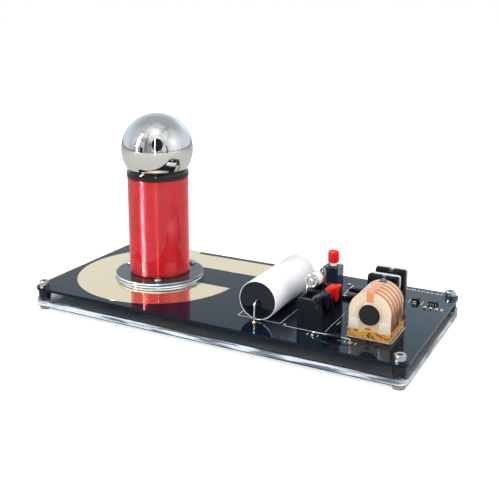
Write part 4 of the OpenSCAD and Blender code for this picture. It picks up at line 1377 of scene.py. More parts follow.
@dataclass
class GapTube:
    """Gas discharge tube with its two leads.

    The tables are pairs: insets from the electrode's rim with heights from its foot, radii on
    its face with depths, and insets and heights of the tube's wall. The hook's are shares of
    its size along X, Y and Z.
    """

    x: float = 47.86
    y: float = -20.0
    z: float = 32.6
    length: float = 8.0
    radius: float = 3.5
    cup: float = 1.5
    cup_side: tuple[Pair, ...] = ((0.15, 0.0), (0.0, 0.15), (0.0, 1.2), (0.1, 1.4), (0.3, 1.5))
    cup_face: tuple[Pair, ...] = ((2.5, 0.0), (2.38, 0.06), (2.3, 0.9), (1.62, 0.9), (1.52, 0.06),
                                  (1.4, 0.0), (1.0, 0.0), (0.9, 0.08), (0.82, 0.33), (0.45, 0.36))
    cup_bore: float = 0.45
    wall_bore: float = 2.0
    wall_end: tuple[Pair, ...] = ((0.3, 0.0), (0.22, 0.12), (0.22, 0.5), (0.12, 0.6))
    wall_middle: float = 0.1
    lead: float = 0.4
    lead_inset: float = 0.35
    well_y: float = -25.375
    well_depth: float = 5.6
    lead_drop: float = 0.05
    lead_bend: float = 1.9
    hook: float = 2.3
    hook_bend: float = 0.35
    hook_thick_share: float = 1.55
    hook_shares: tuple[Triple, ...] = (
        (0, 0, 0), (0, 0.35, 0), (0.04, 0.55, 0.15), (0.2, 0.66, 0.6), (0.34, 0.68, 1.0),
        (0.5, 0.68, 1.5), (0.7, 0.67, 1.9), (0.95, 0.66, 2.05), (1.2, 0.66, 1.85),
        (1.36, 0.65, 1.4), (1.45, 0.63, 0.8), (1.48, 0.6, 0), (1.48, 0.6, -3.5))
    joint: Pair = (0.78, 0.35)
    joint_inset: float = 0.33

    def build(self) -> None:
        """Builds the electrodes, the body and the leads."""
        r, cup = self.radius, self.cup
        front, back = self.y + cup, self.y + self.length - cup
        face = [(self.cup_bore, 0.0), *((r - inset, up) for inset, up in self.cup_side),
                *((radius, cup - depth) for radius, depth in self.cup_face)]
        ends = Shape()
        ends.lathe(face, (self.x, front, self.z), Axis.FRONT, 72, loop=True)
        ends.lathe(face, (self.x, back, self.z), Axis.ALONG_Y, 72, loop=True)
        ends.piece("electrode_cups", NICKEL, nodes=("gap_tube_electrodes",), smooth=30)
        half = [(self.wall_bore, 0.0), *((r - inset, up) for inset, up in self.wall_end)]
        wall = both_ends(half, back - front, [(r - self.wall_middle, (back - front) / 2)])
        Shape().lathe(wall, (self.x, front, self.z), Axis.ALONG_Y, 72, loop=True).piece(
            "glazed_tube_wall", CERAMIC, nodes=("gap_tube_ceramic",))
        start, stop = self.y + self.lead_inset, self.y + self.length - self.lead_inset
        leads = Shape()
        corners = [(self.x, start, self.z), (self.x, self.well_y, self.z - self.lead_drop),
                   (self.x, self.well_y, self.z - self.well_depth)]
        leads.sweep(round_path(corners, self.lead_bend, 12), self.lead, 12)
        hook = [Vector((self.x, stop, self.z)) + Vector(shares) * self.hook
                for shares in self.hook_shares]
        Shape().sweep(round_path(hook, self.hook_bend, 4), self.lead * self.hook_thick_share,
                      12).piece("hooked_rear_lead", DARK_CHROME, nodes=("gap_tube_leads",),
                                smooth=60)
        for y, axis in ((self.y + self.joint_inset, Axis.FRONT), (stop, Axis.ALONG_Y)):
            add_solder(leads, (self.x, y, self.z), self.lead, *self.joint, axis)
        leads.piece("bent_tube_leads", TINNED, nodes=("gap_tube_leads",), smooth=60)


@dataclass
class PushSwitch:
    """Square push switch with a white stem and a red cap.

    The tables are pairs of radius or inset and height: the collar from the body's top, the cap's
    bore from its foot, and the cap's crown and dimple down from its top.
    """

    x: float = 44.26
    y: float = 18.25
    half: float = 4.25
    height: float = 16.0
    pin_pitch: float = 2.5
    pin: float = 0.4
    collar: tuple[Pair, ...] = ((2.02, -0.1), (2.75, -0.1), (2.75, 0.25), (2.6, 0.38), (2.12, 0.38),
                                (2.02, 0.28))
    stud: float = 3.4
    stud_half: float = 0.45
    stud_levels: Pair = (-0.05, 0.12)
    rib: float = 2.3
    rib_half: float = 0.6
    rib_levels: Pair = (1.0, 9.0)
    rib_depths: Pair = (-0.02, 0.12)
    stem: float = 1.95
    stem_levels: Pair = (24.0, 36.2)
    stem_chamfers: Pair = (0.15, 0.1)
    cap: float = 2.95
    cap_levels: Pair = (31.2, 37.4)
    cap_bore: tuple[Pair, ...] = ((2.0, 1.0), (2.05, 0.0))
    cap_chamfer: float = 0.2
    cap_ribs: int = 20
    cap_rib_depth: float = 0.16
    cap_rib_end: float = 1.0
    cap_crown: tuple[Pair, ...] = ((0.1, 0.6), (0.3, 0.25), (0.7, 0.05), (1.1, 0.0))
    cap_dimple: tuple[Pair, ...] = ((0.9, 0.06), (0.05, 0.1))

    def build(self) -> None:
        """Builds the trim of the body, the stem and the ribbed cap."""
        dress_node("switch_body", SWITCH_BLACK, edge=0.35)
        dress_node("switch_contacts", BRASS)
        dress_node("switch_spring", STEEL)
        self.build_trim()
        low, high = self.stem_levels
        foot, rim = self.stem_chamfers
        Shape().lathe([(CENTRE, low), (self.stem - foot, low), (self.stem, low + foot),
                       (self.stem, high - rim), (self.stem - rim, high), (CENTRE, high)],
                      (self.x, self.y, 0.0)).piece("white_stem", WHITE, Body.BUTTON,
                                                   ("button_stem",))
        low, high = self.cap_levels
        side = ribbed(self.cap, self.cap_ribs, self.cap_rib_depth)
        profile = [(radius, low + up) for radius, up in self.cap_bore]
        profile += [(self.cap - self.cap_chamfer, low), (side, low + self.cap_chamfer),
                    (side, high - self.cap_rib_end)]
        profile += [(self.cap - inset, high - down) for inset, down in self.cap_crown]
        profile += [(radius, high - down) for radius, down in self.cap_dimple]
        Shape().lathe(profile, (self.x, self.y, 0.0), segments=120, start=False).piece(
            "ribbed_button_cap", CAP_RED, Body.BUTTON, ("button_cap",), smooth=40)

    def build_trim(self) -> None:
        """Builds the collar, the four studs and the two side ribs of the body."""
        top = BOARD_TOP + self.height
        trim = Shape().lathe(self.collar, (self.x, self.y, top), segments=64, loop=True)
        low, high = self.stud_levels
        for x in (self.x - self.stud, self.x + self.stud):
            for y in (self.y - self.stud, self.y + self.stud):
                trim.block((x - self.stud_half, y - self.stud_half, top + low),
                           (x + self.stud_half, y + self.stud_half, top + high))
        side, (low, high) = self.x + self.half, self.rib_levels
        for y in (self.y - self.rib, self.y + self.rib):
            trim.block((side + self.rib_depths[0], y - self.rib_half, BOARD_TOP + low),
                       (side + self.rib_depths[1], y + self.rib_half, BOARD_TOP + high))
        trim.piece("switch_collar", HOUSING, edge=0.05, steps=1)

    def pins(self) -> list[Triple]:
        """Lists the place and the radius of each pin that comes out under the board."""
        return [(self.x + side * self.pin_pitch, self.y + k * self.pin_pitch, self.pin)
                for side in (-1, 1) for k in (-1, 0, 1)]


@dataclass
class PowerTransistors:
    """The two upright power transistors.

    The draft is pairs of depth behind the front face and inset, and the dimple is pairs of
    radius and height over that face.
    """

    x: float = 70.474
    faces: Pair = (-4.0, 8.0)
    width: float = 15.2
    height: float = 20.0
    low: float = 15.0
    depth: float = 3.0
    tab: float = 2.0
    tab_corner: float = 1.1
    tab_gap: float = 0.02
    over: Pair = (0.5, 0.6)
    rim: float = 0.15
    notch: Pair = (2.6, 1.4)
    notch_shares: Pair = (0.6, 0.7)
    gate: float = 0.9
    corner: float = 0.7
    draft: tuple[Pair, ...] = ((3.0, 0.0), (1.6, 0.0), (1.4, 0.12), (0.0, 0.35))
    dimple: tuple[Pair, ...] = ((CENTRE, 0.02), (0.8, 0.02), (0.9, 0.06), (1.0, 0.0), (1.0, -0.3))
    dimple_place: Pair = (4.2, 15.5)
    leg_pitch: float = 5.45
    leg_depth: float = 2.4
    leg: float = 0.6

    def build(self) -> None:
        """Builds the drafted bodies and the tabs, and dresses the legs."""
        for where, y in zip(("front", "rear"), self.faces):
            self.moulding(y).piece(f"{where}_drafted_body", MOULDED,
                                   nodes=(f"{where}_transistor_body",), edge=0.22, smooth=30)
            self.plate(y).piece(f"{where}_rounded_tab", TAB,
                                nodes=(f"{where}_transistor_tab",), edge=0.14, smooth=30)
        dress_node("transistor_legs", TINNED)

    def moulding(self, y: float) -> Shape:
        """Builds one moulded body with its draft, notch and two round dimples.

        Args:
            y: Front face of the body.

        Returns:
            The body's shape.
        """
        notch, deep = self.notch[0] / 2, self.notch[1]
        half = (self.width + self.over[0] - self.rim) / 2
        high = self.height + self.over[1] - self.rim
        middle = Vector((self.x + half, y, self.low))
        floor = [(notch, high - deep * self.notch_shares[1]),
                 (notch * self.notch_shares[0], high - deep)]

        def outline(depth: float, inset: float) -> Ring:
            """Gives the body's outline at a depth.

            Args:
                depth: Distance behind the front face.
                inset: How far the sides and the top are drawn in.

            Returns:
                The outline's points.
            """
            side, top = half - inset, high - inset
            right = [(self.gate, 0), (side, 0), (side, top - self.corner),
                     (side - self.corner, top), (notch + inset, top), *floor]
            left = [(-across, up) for across, up in reversed(right)]
            return [middle + Vector((across, depth, up)) for across, up in right + left]

        shape = Shape().loft([outline(depth, inset) for depth, inset in self.draft])
        across, up = self.dimple_place
        for side in (-1, 1):
            shape.lathe(self.dimple, middle + Vector((side * across, 0.0, up)), Axis.FRONT, 32)
        return shape

    def plate(self, y: float) -> Shape:
        """Builds one metal tab with rounded top corners.

        Args:
            y: Front face of the transistor.

        Returns:
            The tab's shape.
        """
        r, wide = self.tab_corner, self.width + self.over[0]
        level = self.height + self.over[1] - r
        outline = [(0, 0), (wide, 0), *arc((wide - r, level), r, 0, 90, 6),
                   *arc((r, level), r, 90, 180, 6)]
        at = (self.x, y + self.depth + self.tab, self.low)
        return Shape().prism(outline, at, Axis.FRONT, self.tab - self.tab_gap)

    def pins(self) -> list[Triple]:
        """Lists the place and the radius of each pin that comes out under the board."""
        return [(self.x + self.width / 2 + k * self.leg_pitch, y + self.leg_depth, self.leg)
                for k in (-1, 0, 1) for y in self.faces]


@dataclass
class StepUpTransformer:
    """High voltage transformer with its bobbin, windings, core and amber foot.

    The tongue's rings are a distance behind the last flange, a lift over the arch and a share
    of its width. The lip is pairs of width round the core and height over the face, and the
    marks are places on the foot's front with a radius.
    """

    x: float = 70.474
    y: float = -29.5
    width: float = 20.8
    length: float = 21.5
    foot: float = 4.0
    foot_depth: float = 1.0
    arch: float = 10.15
    arch_z: float = 12.6
    core: float = 4.9
    core_z: float = 11.8
    core_gap: float = 0.1
    tube: float = 6.25
    tube_length: float = 20.0
    flange: float = 1.0
    flanges: int = 6
    flange_round: float = 0.2
    edge: float = 0.3
    pitch: float = 3.81
    pack_inset: float = 0.75
    pack_gap: float = 0.02
    wire: float = 0.3
    wire_inset: float = 0.42
    wire_stagger: float = 0.05
    ring_steps: int = 96
    tongue_half: float = 1.7
    tongue_thick: float = 0.3
    tongue_rings: tuple[Triple, ...] = ((-2.3, 0.02, 0.7), (-2.0, 0.12, 1.0), (0.6, 0.12, 1.0),
                                       (0.9, 0.02, 0.9))
    leg_inner: float = 4.9
    leg_inset: float = 0.7
    leg_sunk: Pair = (0.0, 0.4)
    leg_top: float = 2.9
    leg_height: float = 0.36
    face_sunk: float = 0.1
    panel_gap: float = 0.9
    panel_thick: float = 0.16
    panel_foot: float = 0.02
    start_wire: float = 0.17
    start_wires: int = 3
    start_span: Pair = (-2.0, 0.9)
    start_step: float = 0.3
    start_up: float = 0.55
    start_out: float = 0.12
    start_in: float = 0.2
    start_slant: float = 0.1
    start_bend: float = 0.25
    lip: tuple[Pair, ...] = ((0.12, 0.0), (0.2, 0.14), (0.62, 0.14), (0.8, 0.0), (0.8, -0.1),
                             (0.12, -0.1))
    marks: tuple[Triple, ...] = ((-6.6, 3.3, 0.55), (6.2, 2.2, 0.75), (-2.4, 1.6, 0.35),
                                (3.1, 3.2, 0.4))
    mark_out: float = 0.03
    mark_chamfer: float = 0.06
    mark_depth: float = 0.6
    mark_flat_share: float = 0.7
    pin_inset: float = 3.0
    pin: float = 0.45

    @property
    def middle(self) -> float:
        """Gives the bobbin's middle along X."""
        return self.x + self.width / 2

    @property
    def face(self) -> float:
        """Gives the front face of the first flange along Y."""
        return self.y + self.edge

    def ring(self, inset: float, behind: float) -> Ring:
        """Gives points round the arch, in even steps round the core's axis.

        Args:
            inset: Distance drawn in from the flange's outline.
            behind: Distance behind the transformer's front.

        Returns:
            The points.
        """
        r, low = self.arch - inset, self.foot - self.foot_depth
        off = self.core_z - self.arch_z
        tiny, endless = 1e-6, 1e9
        points = []
        for k in range(self.ring_steps):
            t = 2 * math.pi * k / self.ring_steps
            dx, dz = math.cos(t), math.sin(t)
            # distance from the core's axis to the round top, the straight sides or the foot
            half = dz * off
            reach = -half + math.sqrt(max(half * half - off * off + r * r, 0.0))
            if self.core_z + reach * dz < self.arch_z:
                side = r / abs(dx) if abs(dx) > tiny else endless
                down = (self.core_z - low) / -dz if dz < -tiny else endless
                reach = min(side, down)
            points.append(Vector((self.middle + reach * dx, self.y + behind,
                                  BOARD_TOP + self.core_z + reach * dz)))
        return points

    def build(self) -> None:
        """Builds the bobbin and the wound sections, and dresses the rest."""
        self.build_bobbin()
        self.build_sections()
        self.build_face()
        self.build_tongue()
        dress_node("transformer_core", FERRITE, edge=0.25)
        dress_node("transformer_potting", AMBER, edge=0.3)
        dress_node("transformer_tape", TAPE)
        dress_node("transformer_back_plate", GREY, edge=0.15)
        dress_node("transformer_pins", TINNED)

    def build_bobbin(self) -> None:
        """Builds the arched flanges with rounded rims, and the tube that joins them."""
        bore, level, soft = self.core + self.core_gap, BOARD_TOP + self.core_z, self.flange_round
        bobbin = Shape()
        for k in range(self.flanges):
            front = self.edge + k * self.pitch
            back = front + self.flange
            near, far = (turned((self.middle, self.y + y, level), Axis.FRONT, 0.0,
                                self.ring_steps, bore) for y in (front, back))
            bobbin.loft([near, self.ring(soft, front), self.ring(0.0, front + soft),
                         self.ring(0.0, back - soft), self.ring(soft, back), far],
                        start=False, end=False)
        bobbin.lathe(both_ends([(bore, 0.0), (self.tube, 0.0)], self.tube_length),
                     (self.middle, self.face, level), Axis.ALONG_Y, 64, loop=True)
        bobbin.piece("arched_bobbin", CREAM, nodes=("transformer_bobbin",), smooth=30)

    def build_sections(self) -> None:
        """Builds the packs of wire between the flanges, and the turns on them."""
        packs, wires = Shape(), Shape()
        span = self.pitch - self.flange
        turns = int(span / self.wire)
        for k in range(self.flanges - 1):
            start = self.edge + k * self.pitch + self.flange
            packs.loft([self.ring(self.pack_inset, start + self.pack_gap),
                        self.ring(self.pack_inset, start + span - self.pack_gap)])
            for i in range(turns):
                inset = self.wire_inset + self.wire_stagger * (i % 2)
                wires.sweep(self.ring(inset, start + span * (i + 0.5) / turns),
                            self.wire / 2 + self.pack_gap, 6, loop=True)
        packs.piece("wound_pack", WOUND, nodes=("transformer_windings",))
        wires.piece("wound_turns", WOUND, nodes=("transformer_windings",), smooth=80)

    def build_tongue(self) -> None:
        """Builds the dark tongue that the back plate folds over the top of the last section."""
        last = self.face + (self.flanges - 1) * self.pitch
        rings = []
        for behind, lift, share in self.tongue_rings:
            r = self.arch + lift
            across = [self.tongue_half * share * k / 4 for k in range(-4, 5)]
            over = [Vector((self.middle + a, last + behind,
                            BOARD_TOP + self.arch_z + math.sqrt(r * r - a * a))) for a in across]
            under = [p - Vector((0.0, 0.0, self.tongue_thick)) for p in reversed(over)]
            rings.append(over + under)
        Shape().loft(rings).piece("back_plate_tongue", GREY)

    def build_face(self) -> None:
        """Builds what stands on the front face: legs, soaked panel, start wires, lip and marks."""
        mid, front, level = self.middle, self.face, BOARD_TOP + self.core_z
        legs = Shape()
        for side, sunk in zip((-1, 1), self.leg_sunk):
            edges = (mid + side * self.leg_inner, mid + side * (self.arch - self.leg_inset))
            legs.block((min(edges), front - self.leg_height, BOARD_TOP + self.foot - sunk),
                       (max(edges), front + self.face_sunk, level - self.leg_top))
        legs.piece("bobbin_front_legs", PALE_LEG, edge=0.14)
        self.build_panel()
        bar = Shape()
        left, right = (mid + end for end in self.start_span)
        inner, outer = front + self.start_in, front - self.start_out
        for k in range(self.start_wires):
            z = BOARD_TOP + self.foot + self.start_up + self.start_step * k
            corners = [(left, inner, z), (left + self.start_slant, outer, z),
                       (right - self.start_slant, outer, z), (right, inner, z)]
            bar.sweep(round_path(corners, self.start_bend, 4), self.start_wire)
        bar.piece("start_wires", SCORCHED)
        lip = [(self.core + out, up) for out, up in self.lip]
        Shape().lathe(lip, (mid, front, level), Axis.FRONT, 96, loop=True).piece(
            "core_bore_lip", CREAM)
        spots = Shape()
        for across, up, r in self.marks:
            spots.lathe([(CENTRE, 0.0), (r * self.mark_flat_share, 0.0), (r, -self.mark_chamfer),
                         (r, -self.mark_depth), (CENTRE, -self.mark_depth)],
                        (mid + across, self.y - self.mark_out, BOARD_TOP + up), Axis.FRONT, 24)
        spots.piece("potted_pin_ends", SCORCHED)

    def build_panel(self) -> None:
        """Builds the soaked panel between the legs, cut out round the core."""
        r, level, half = self.core + self.panel_gap, self.core_z, self.leg_inner
        low, high = self.foot + self.panel_foot, level - self.leg_top
        start = math.degrees(math.asin((high - level) / r))
        cut = [point for point in arc((0.0, level), r, start, -90, 16) if point[0] < half - 0.05]
        outline = [(half, low), (half, high), *cut]
        outline += [(-across, up) for across, up in reversed(outline[:-1])]
        Shape().prism(outline, (self.middle, self.face + self.face_sunk, BOARD_TOP), Axis.FRONT,
                      self.panel_thick).piece("soaked_front_panel", SOAKED)

    def pins(self) -> list[Triple]:
        """Lists the place and the radius of each pin that comes out under the board."""
        inset = self.pin_inset
        across = (self.x + inset, self.x + self.width - inset)
        behind = (self.y + inset, self.y + self.length - inset)
        return [(x, y, self.pin) for x in across for y in behind]


@dataclass(frozen=True)
class FlatPart:
    """Flat moulded part with bent strip legs on two opposite sides.

    The leg is pairs of distance from the part's middle and height over the board, and each
    shift is a place of two facing legs across the part.
    """

    size: Pair
    height: float
    draft: float
    leg: tuple[Pair, ...]
    leg_width: float
    leg_thick: float
    along: Vector
    across: Vector
    shifts: tuple[float, ...] = (0.0,)
    leg_bend: float = 0.16

    def add(self, body: Shape, legs: Shape, x: float, y: float) -> None:
        """Adds one part to a shape of bodies and a shape of legs.

        Args:
            body: Shape that takes the moulded body.
            legs: Shape that takes the legs.
            x: Place along X.
            y: Place along Y.
        """
        rings = [[Vector((x + sx * (self.size[0] / 2 - inset), y + sy * (self.size[1] / 2 - inset),
                          BOARD_TOP + PAD_LIFT + self.height * share))
                  for sx, sy in ((-1, -1), (1, -1), (1, 1), (-1, 1))]
                 for inset, share in ((self.draft / 2, 0.0), (0.0, 0.45), (0.0, 0.55),
                                      (self.draft, 1.0))]
        body.loft(rings)
        for shift in self.shifts:
            base = Vector((x, y, BOARD_TOP)) + self.across * shift
            for side in (-1, 1):
                path = [base + self.along * side * out + Vector((0.0, 0.0, up))
                        for out, up in self.leg]
                self.add_strip(legs, round_path(path, self.leg_bend, 4))

    def add_strip(self, shape: Shape, line: Ring) -> None:
        """Adds a bent metal strip.

        Args:
            shape: Shape that takes the strip.
            line: Points of its middle line.
        """
        side = self.across * self.leg_width / 2
        rings = []
        for i, here in enumerate(line):
            ahead = (line[min(i + 1, len(line) - 1)] - line[max(i - 1, 0)]).normalized()
            up = self.across.cross(ahead).normalized() * self.leg_thick / 2
            rings.append([here - side - up, here + side - up, here + side + up, here - side + up])
        shape.loft(rings)


X_WAY = Vector((1, 0, 0))
Y_WAY = Vector((0, 1, 0))
DIODE = FlatPart(size=(6.8, 6.0), height=2.13, draft=0.45,
                 leg=((3.2, 1.25), (3.6, 1.2), (3.68, 0.2), (4.7, 0.16)),
                 leg_width=3.0, leg_thick=0.2, along=X_WAY, across=Y_WAY)
SMALL_DIODE = FlatPart(size=(3.6, 4.3), height=2.13, draft=0.35,
                       leg=((2.0, 1.25), (2.35, 1.2), (2.42, 0.2), (3.15, 0.16)),
                       leg_width=2.0, leg_thick=0.2, along=Y_WAY, across=X_WAY)
DRIVER = FlatPart(size=(5.0, 3.9), height=1.33, draft=0.3,
                  leg=((1.85, 0.85), (2.2, 0.83), (2.4, 0.22), (3.0, 0.16)),
                  leg_width=0.42, leg_thick=0.16, along=Y_WAY, across=X_WAY,
                  shifts=(-1.905, -0.635, 0.635, 1.905))


@dataclass
class SmallParts:
    """Rod rectifier, flat diodes, driver chip and chip parts, with the solder under the board."""

    rod: float = 1.2
    rod_length: float = 9.0
    rod_place: Triple = (65.974, -37.3, 1.7)
    rod_pins: Pair = (56.174, 74.874)
    rod_bore: float = 0.36
    rod_end: tuple[Pair, ...] = ((0.55, 0.0), (0.9, 0.15), (1.0, 0.5))
    rod_lead: float = 0.35
    rod_lead_sunk: float = 0.4
    rod_lead_bend: float = 1.1
    rod_lead_out: float = 1.4
    rod_solder: Pair = (1.0, 0.55)
    protection: tuple[Pair, ...] = ((54.21, 27.5), (54.61, 17.3))
    band: Pair = (-2.7, -2.2)
    band_half: float = 2.5
    band_levels: Pair = (2.27, 2.32)
    small: Pair = (87.0, 27.5)
    driver: Pair = (95.7, 29.0)
    dot: tuple[Pair, ...] = ((CENTRE, 0.0), (0.32, 0.0), (0.36, 0.02), (0.4, 0.0), (0.4, -0.1))
    dot_place: Triple = (-1.8, -1.0, 1.5)
    joint_clearance: float = 0.02
    joint_width: float = 0.62
    joint_height: float = 1.0
    mark_row: Triple = (74.0, 96.0, 44.2)
    mark_widths: Pair = (0.5, 1.5)
    mark_heights: Pair = (0.9, 1.5)
    mark_gaps: Pair = (0.6, 1.1)
    mark_size: float = 0.7
    mark_pitch: float = 1.1
    mark_groups: tuple[tuple[Pair, int, Vector], ...] = (
        ((61.6, -20.5), 5, Y_WAY), ((80.0, 20.0), 3, X_WAY), ((40.5, 30.0), 4, Y_WAY),
        ((56.0, 34.5), 4, X_WAY))

    def build(self) -> None:
        """Builds the parts, dresses the chip parts and builds the solder and the print."""
        self.build_rod()
        self.build_flat()
        self.build_driver()
        dress_node("chip_part_bodies", TAN, edge=0.08)
        dress_node("chip_part_ends", TINNED, edge=0.08)
        self.build_joints()
        self.build_marks()

    def build_rod(self) -> None:
        """Builds the rod rectifier with its bent leads and their solder."""
        half = self.rod_length / 2
        mid, y, up = self.rod_place
        z = BOARD_TOP + up
        profile = [(self.rod_bore, -half - CENTRE),
                   *((self.rod * share, back - half) for share, back in self.rod_end)]
        Shape().lathe(both_ends(profile, 0.0), (mid, y, z), Axis.ALONG_X, loop=True).piece(
            "rod_body", MOULDED, nodes=("rectifier_body",))
        leads, bumps = Shape(), Shape()
        for pin, side in zip(self.rod_pins, (-1, 1)):
            corners = [(mid + side * (half - self.rod_lead_sunk), y, z), (pin, y, z),
                       (pin, y, BOARD_UNDER - self.rod_lead_out)]
            leads.sweep(round_path(corners, self.rod_lead_bend, 10), self.rod_lead, 12)
            add_solder(bumps, (pin, y, BOARD_TOP), self.rod_lead, *self.rod_solder)
        leads.piece("rod_leads", TINNED, nodes=("rectifier_leads",), smooth=60)
        bumps.piece("rod_solder", GILT, smooth=60)

    def build_flat(self) -> None:
        """Builds the flat diodes with their bands and strip leads."""
        bodies, small, leads, small_leads, bands = Shape(), Shape(), Shape(), Shape(), Shape()
        low, high = (BOARD_TOP + level for level in self.band_levels)
        for x, y in self.protection:
            DIODE.add(bodies, leads, x, y)
            bands.block((x + self.band[0], y - self.band_half, low),
                        (x + self.band[1], y + self.band_half, high))
        SMALL_DIODE.add(small, small_leads, *self.small)
        bodies.piece("flat_diode_bodies", MOULDED, nodes=("protection_diode_bodies",), edge=0.1)
        small.piece("small_flat_body", MOULDED, nodes=("small_diode_body",), edge=0.1)
        leads.piece("flat_diode_strips", TINNED, nodes=("protection_diode_leads",))
        small_leads.piece("small_flat_strips", TINNED, nodes=("small_diode_leads",))
        bands.piece("diode_bands", PRINT)

    def build_driver(self) -> None:
        """Builds the driver chip with its gull-wing legs and its corner dot."""
        chip, legs = Shape(), Shape()
        DRIVER.add(chip, legs, *self.driver)
        dot = Shape().lathe(self.dot, Vector((*self.driver, BOARD_TOP)) + Vector(self.dot_place),
                            segments=24)
        chip.piece("driver_body", MOULDED, nodes=("driver_chip_body",), edge=0.08)
        legs.piece("driver_legs", TINNED, nodes=("driver_chip_legs",))
        dot.piece("driver_corner_dot", GREY)

    def pins(self) -> list[Triple]:
        """Lists the place and the radius of each pin that comes out under the board."""
        return [(x, self.rod_place[1], self.rod_lead) for x in self.rod_pins]

    def build_joints(self) -> None:
        """Builds the curved solder joints round the pins of all assemblies under the board."""
        assemblies = (FilmCapacitor(), LeverTerminal(), PushSwitch(), PowerTransistors(),
                      StepUpTransformer(), self)
        joints = Shape()
        for x, y, r in (pin for assembly in assemblies for pin in assembly.pins()):
            add_solder(joints, (x, y, BOARD_UNDER), r + self.joint_clearance, r + self.joint_width,
                       self.joint_height, Axis.DOWN)
        joints.piece("curved_solder_joints", SOLDER, nodes=("solder_joints",), smooth=60)

    def build_marks(self) -> None:
        """Builds short plain printed marks where the board carries print."""
        draw = random.Random(7)
        marks = Shape()
        high = BOARD_TOP + PRINT_THICK
        x, stop, y = self.mark_row
        while x < stop:
            wide = draw.uniform(*self.mark_widths)
            marks.block((x, y, BOARD_TOP), (x + wide, y + draw.uniform(*self.mark_heights), high))
            x += wide + draw.uniform(*self.mark_gaps)
        for place, count, way in self.mark_groups:
            for k in range(count):
                px, py, _ = Vector((*place, 0.0)) + way * self.mark_pitch * k
                marks.block((px, py, BOARD_TOP), (px + self.mark_size, py + self.mark_size, high))
        marks.piece("plain_print_marks", PRINT)


# Studio


@dataclass(frozen=True)
class Card:
    """Card beside the object that only mirrors and gloss see, with its lengths in metres.

    It stands at a turn in degrees from the camera's side, and faces the ball or, when level, the
    coil at its own height. A card with a place of its own has an aim of its own too.
    """

    name: str
    strength: float
    half: Pair
    turn: float = 0.0
    reach: float = 0.75
    height: float = 0.0
    beside: float = -0.05
    level: bool = False
    soft: bool = False
    corners: int = 4
    tint: Color = (0.94, 0.97, 1.0)
    at: Triple | None = None
    aim: Triple = (0.0, 0.0, 0.0)

    def material(self) -> bpy.types.Material:
        """Makes the card's material once.

        Returns:
            A glowing material, faded to clear at the rim of a soft card.
        """
        name = f"Card {self.strength:g} {self.tint[0]:g}"
        found = bpy.data.materials.get(name)
        if found is not None:
            return found
        material = new_material(name)
        nodes = Nodes(material.node_tree)
        glow = nodes.add("Emission", {"Color": self.tint, "Strength": self.strength})
        if self.soft:
            where = nodes.add("TexCoord").outputs["Generated"]
            centred = nodes.stretch(where, (2.0, 2.0, 0.0), (-1.0, -1.0, 0.0))
            spot = nodes.add("TexGradient", {0: centred}, gradient_type="QUADRATIC_SPHERE")
            glow = nodes.mix_shaders(spot.outputs["Fac"], nodes.add("BsdfTransparent"), glow)
        nodes.add("OutputMaterial", {"Surface": glow.outputs[0]})
        return material

    def add(self, place: Vector, target: Vector) -> None:
        """Adds the card.

        Args:
            place: Middle of the card, in metres.
            target: Point that it faces.
        """
        # a card of four corners is a plain board, whose corners lie past its half sizes
        plain = self.corners == 4
        turn, past = (math.pi / 4, math.sqrt(2)) if plain else (0.0, 1.0)
        wide, tall = self.half
        angles = [turn + 2 * math.pi * k / self.corners for k in range(self.corners)]
        ring = [(past * wide * math.cos(t), past * tall * math.sin(t), 0.0) for t in angles]
        mesh = bpy.data.meshes.new(self.name)
        mesh.from_pydata(ring, [], [tuple(range(self.corners))])
        mesh.materials.append(self.material())
        card = bpy.data.objects.new(self.name, mesh)
        card.location = place
        card.rotation_euler = (target - place).to_track_quat("Z", "Y").to_euler()
        bpy.context.scene.collection.objects.link(card)
        card.visible_camera = card.visible_diffuse = card.visible_shadow = False
        card.visible_transmission = card.visible_volume_scatter = False


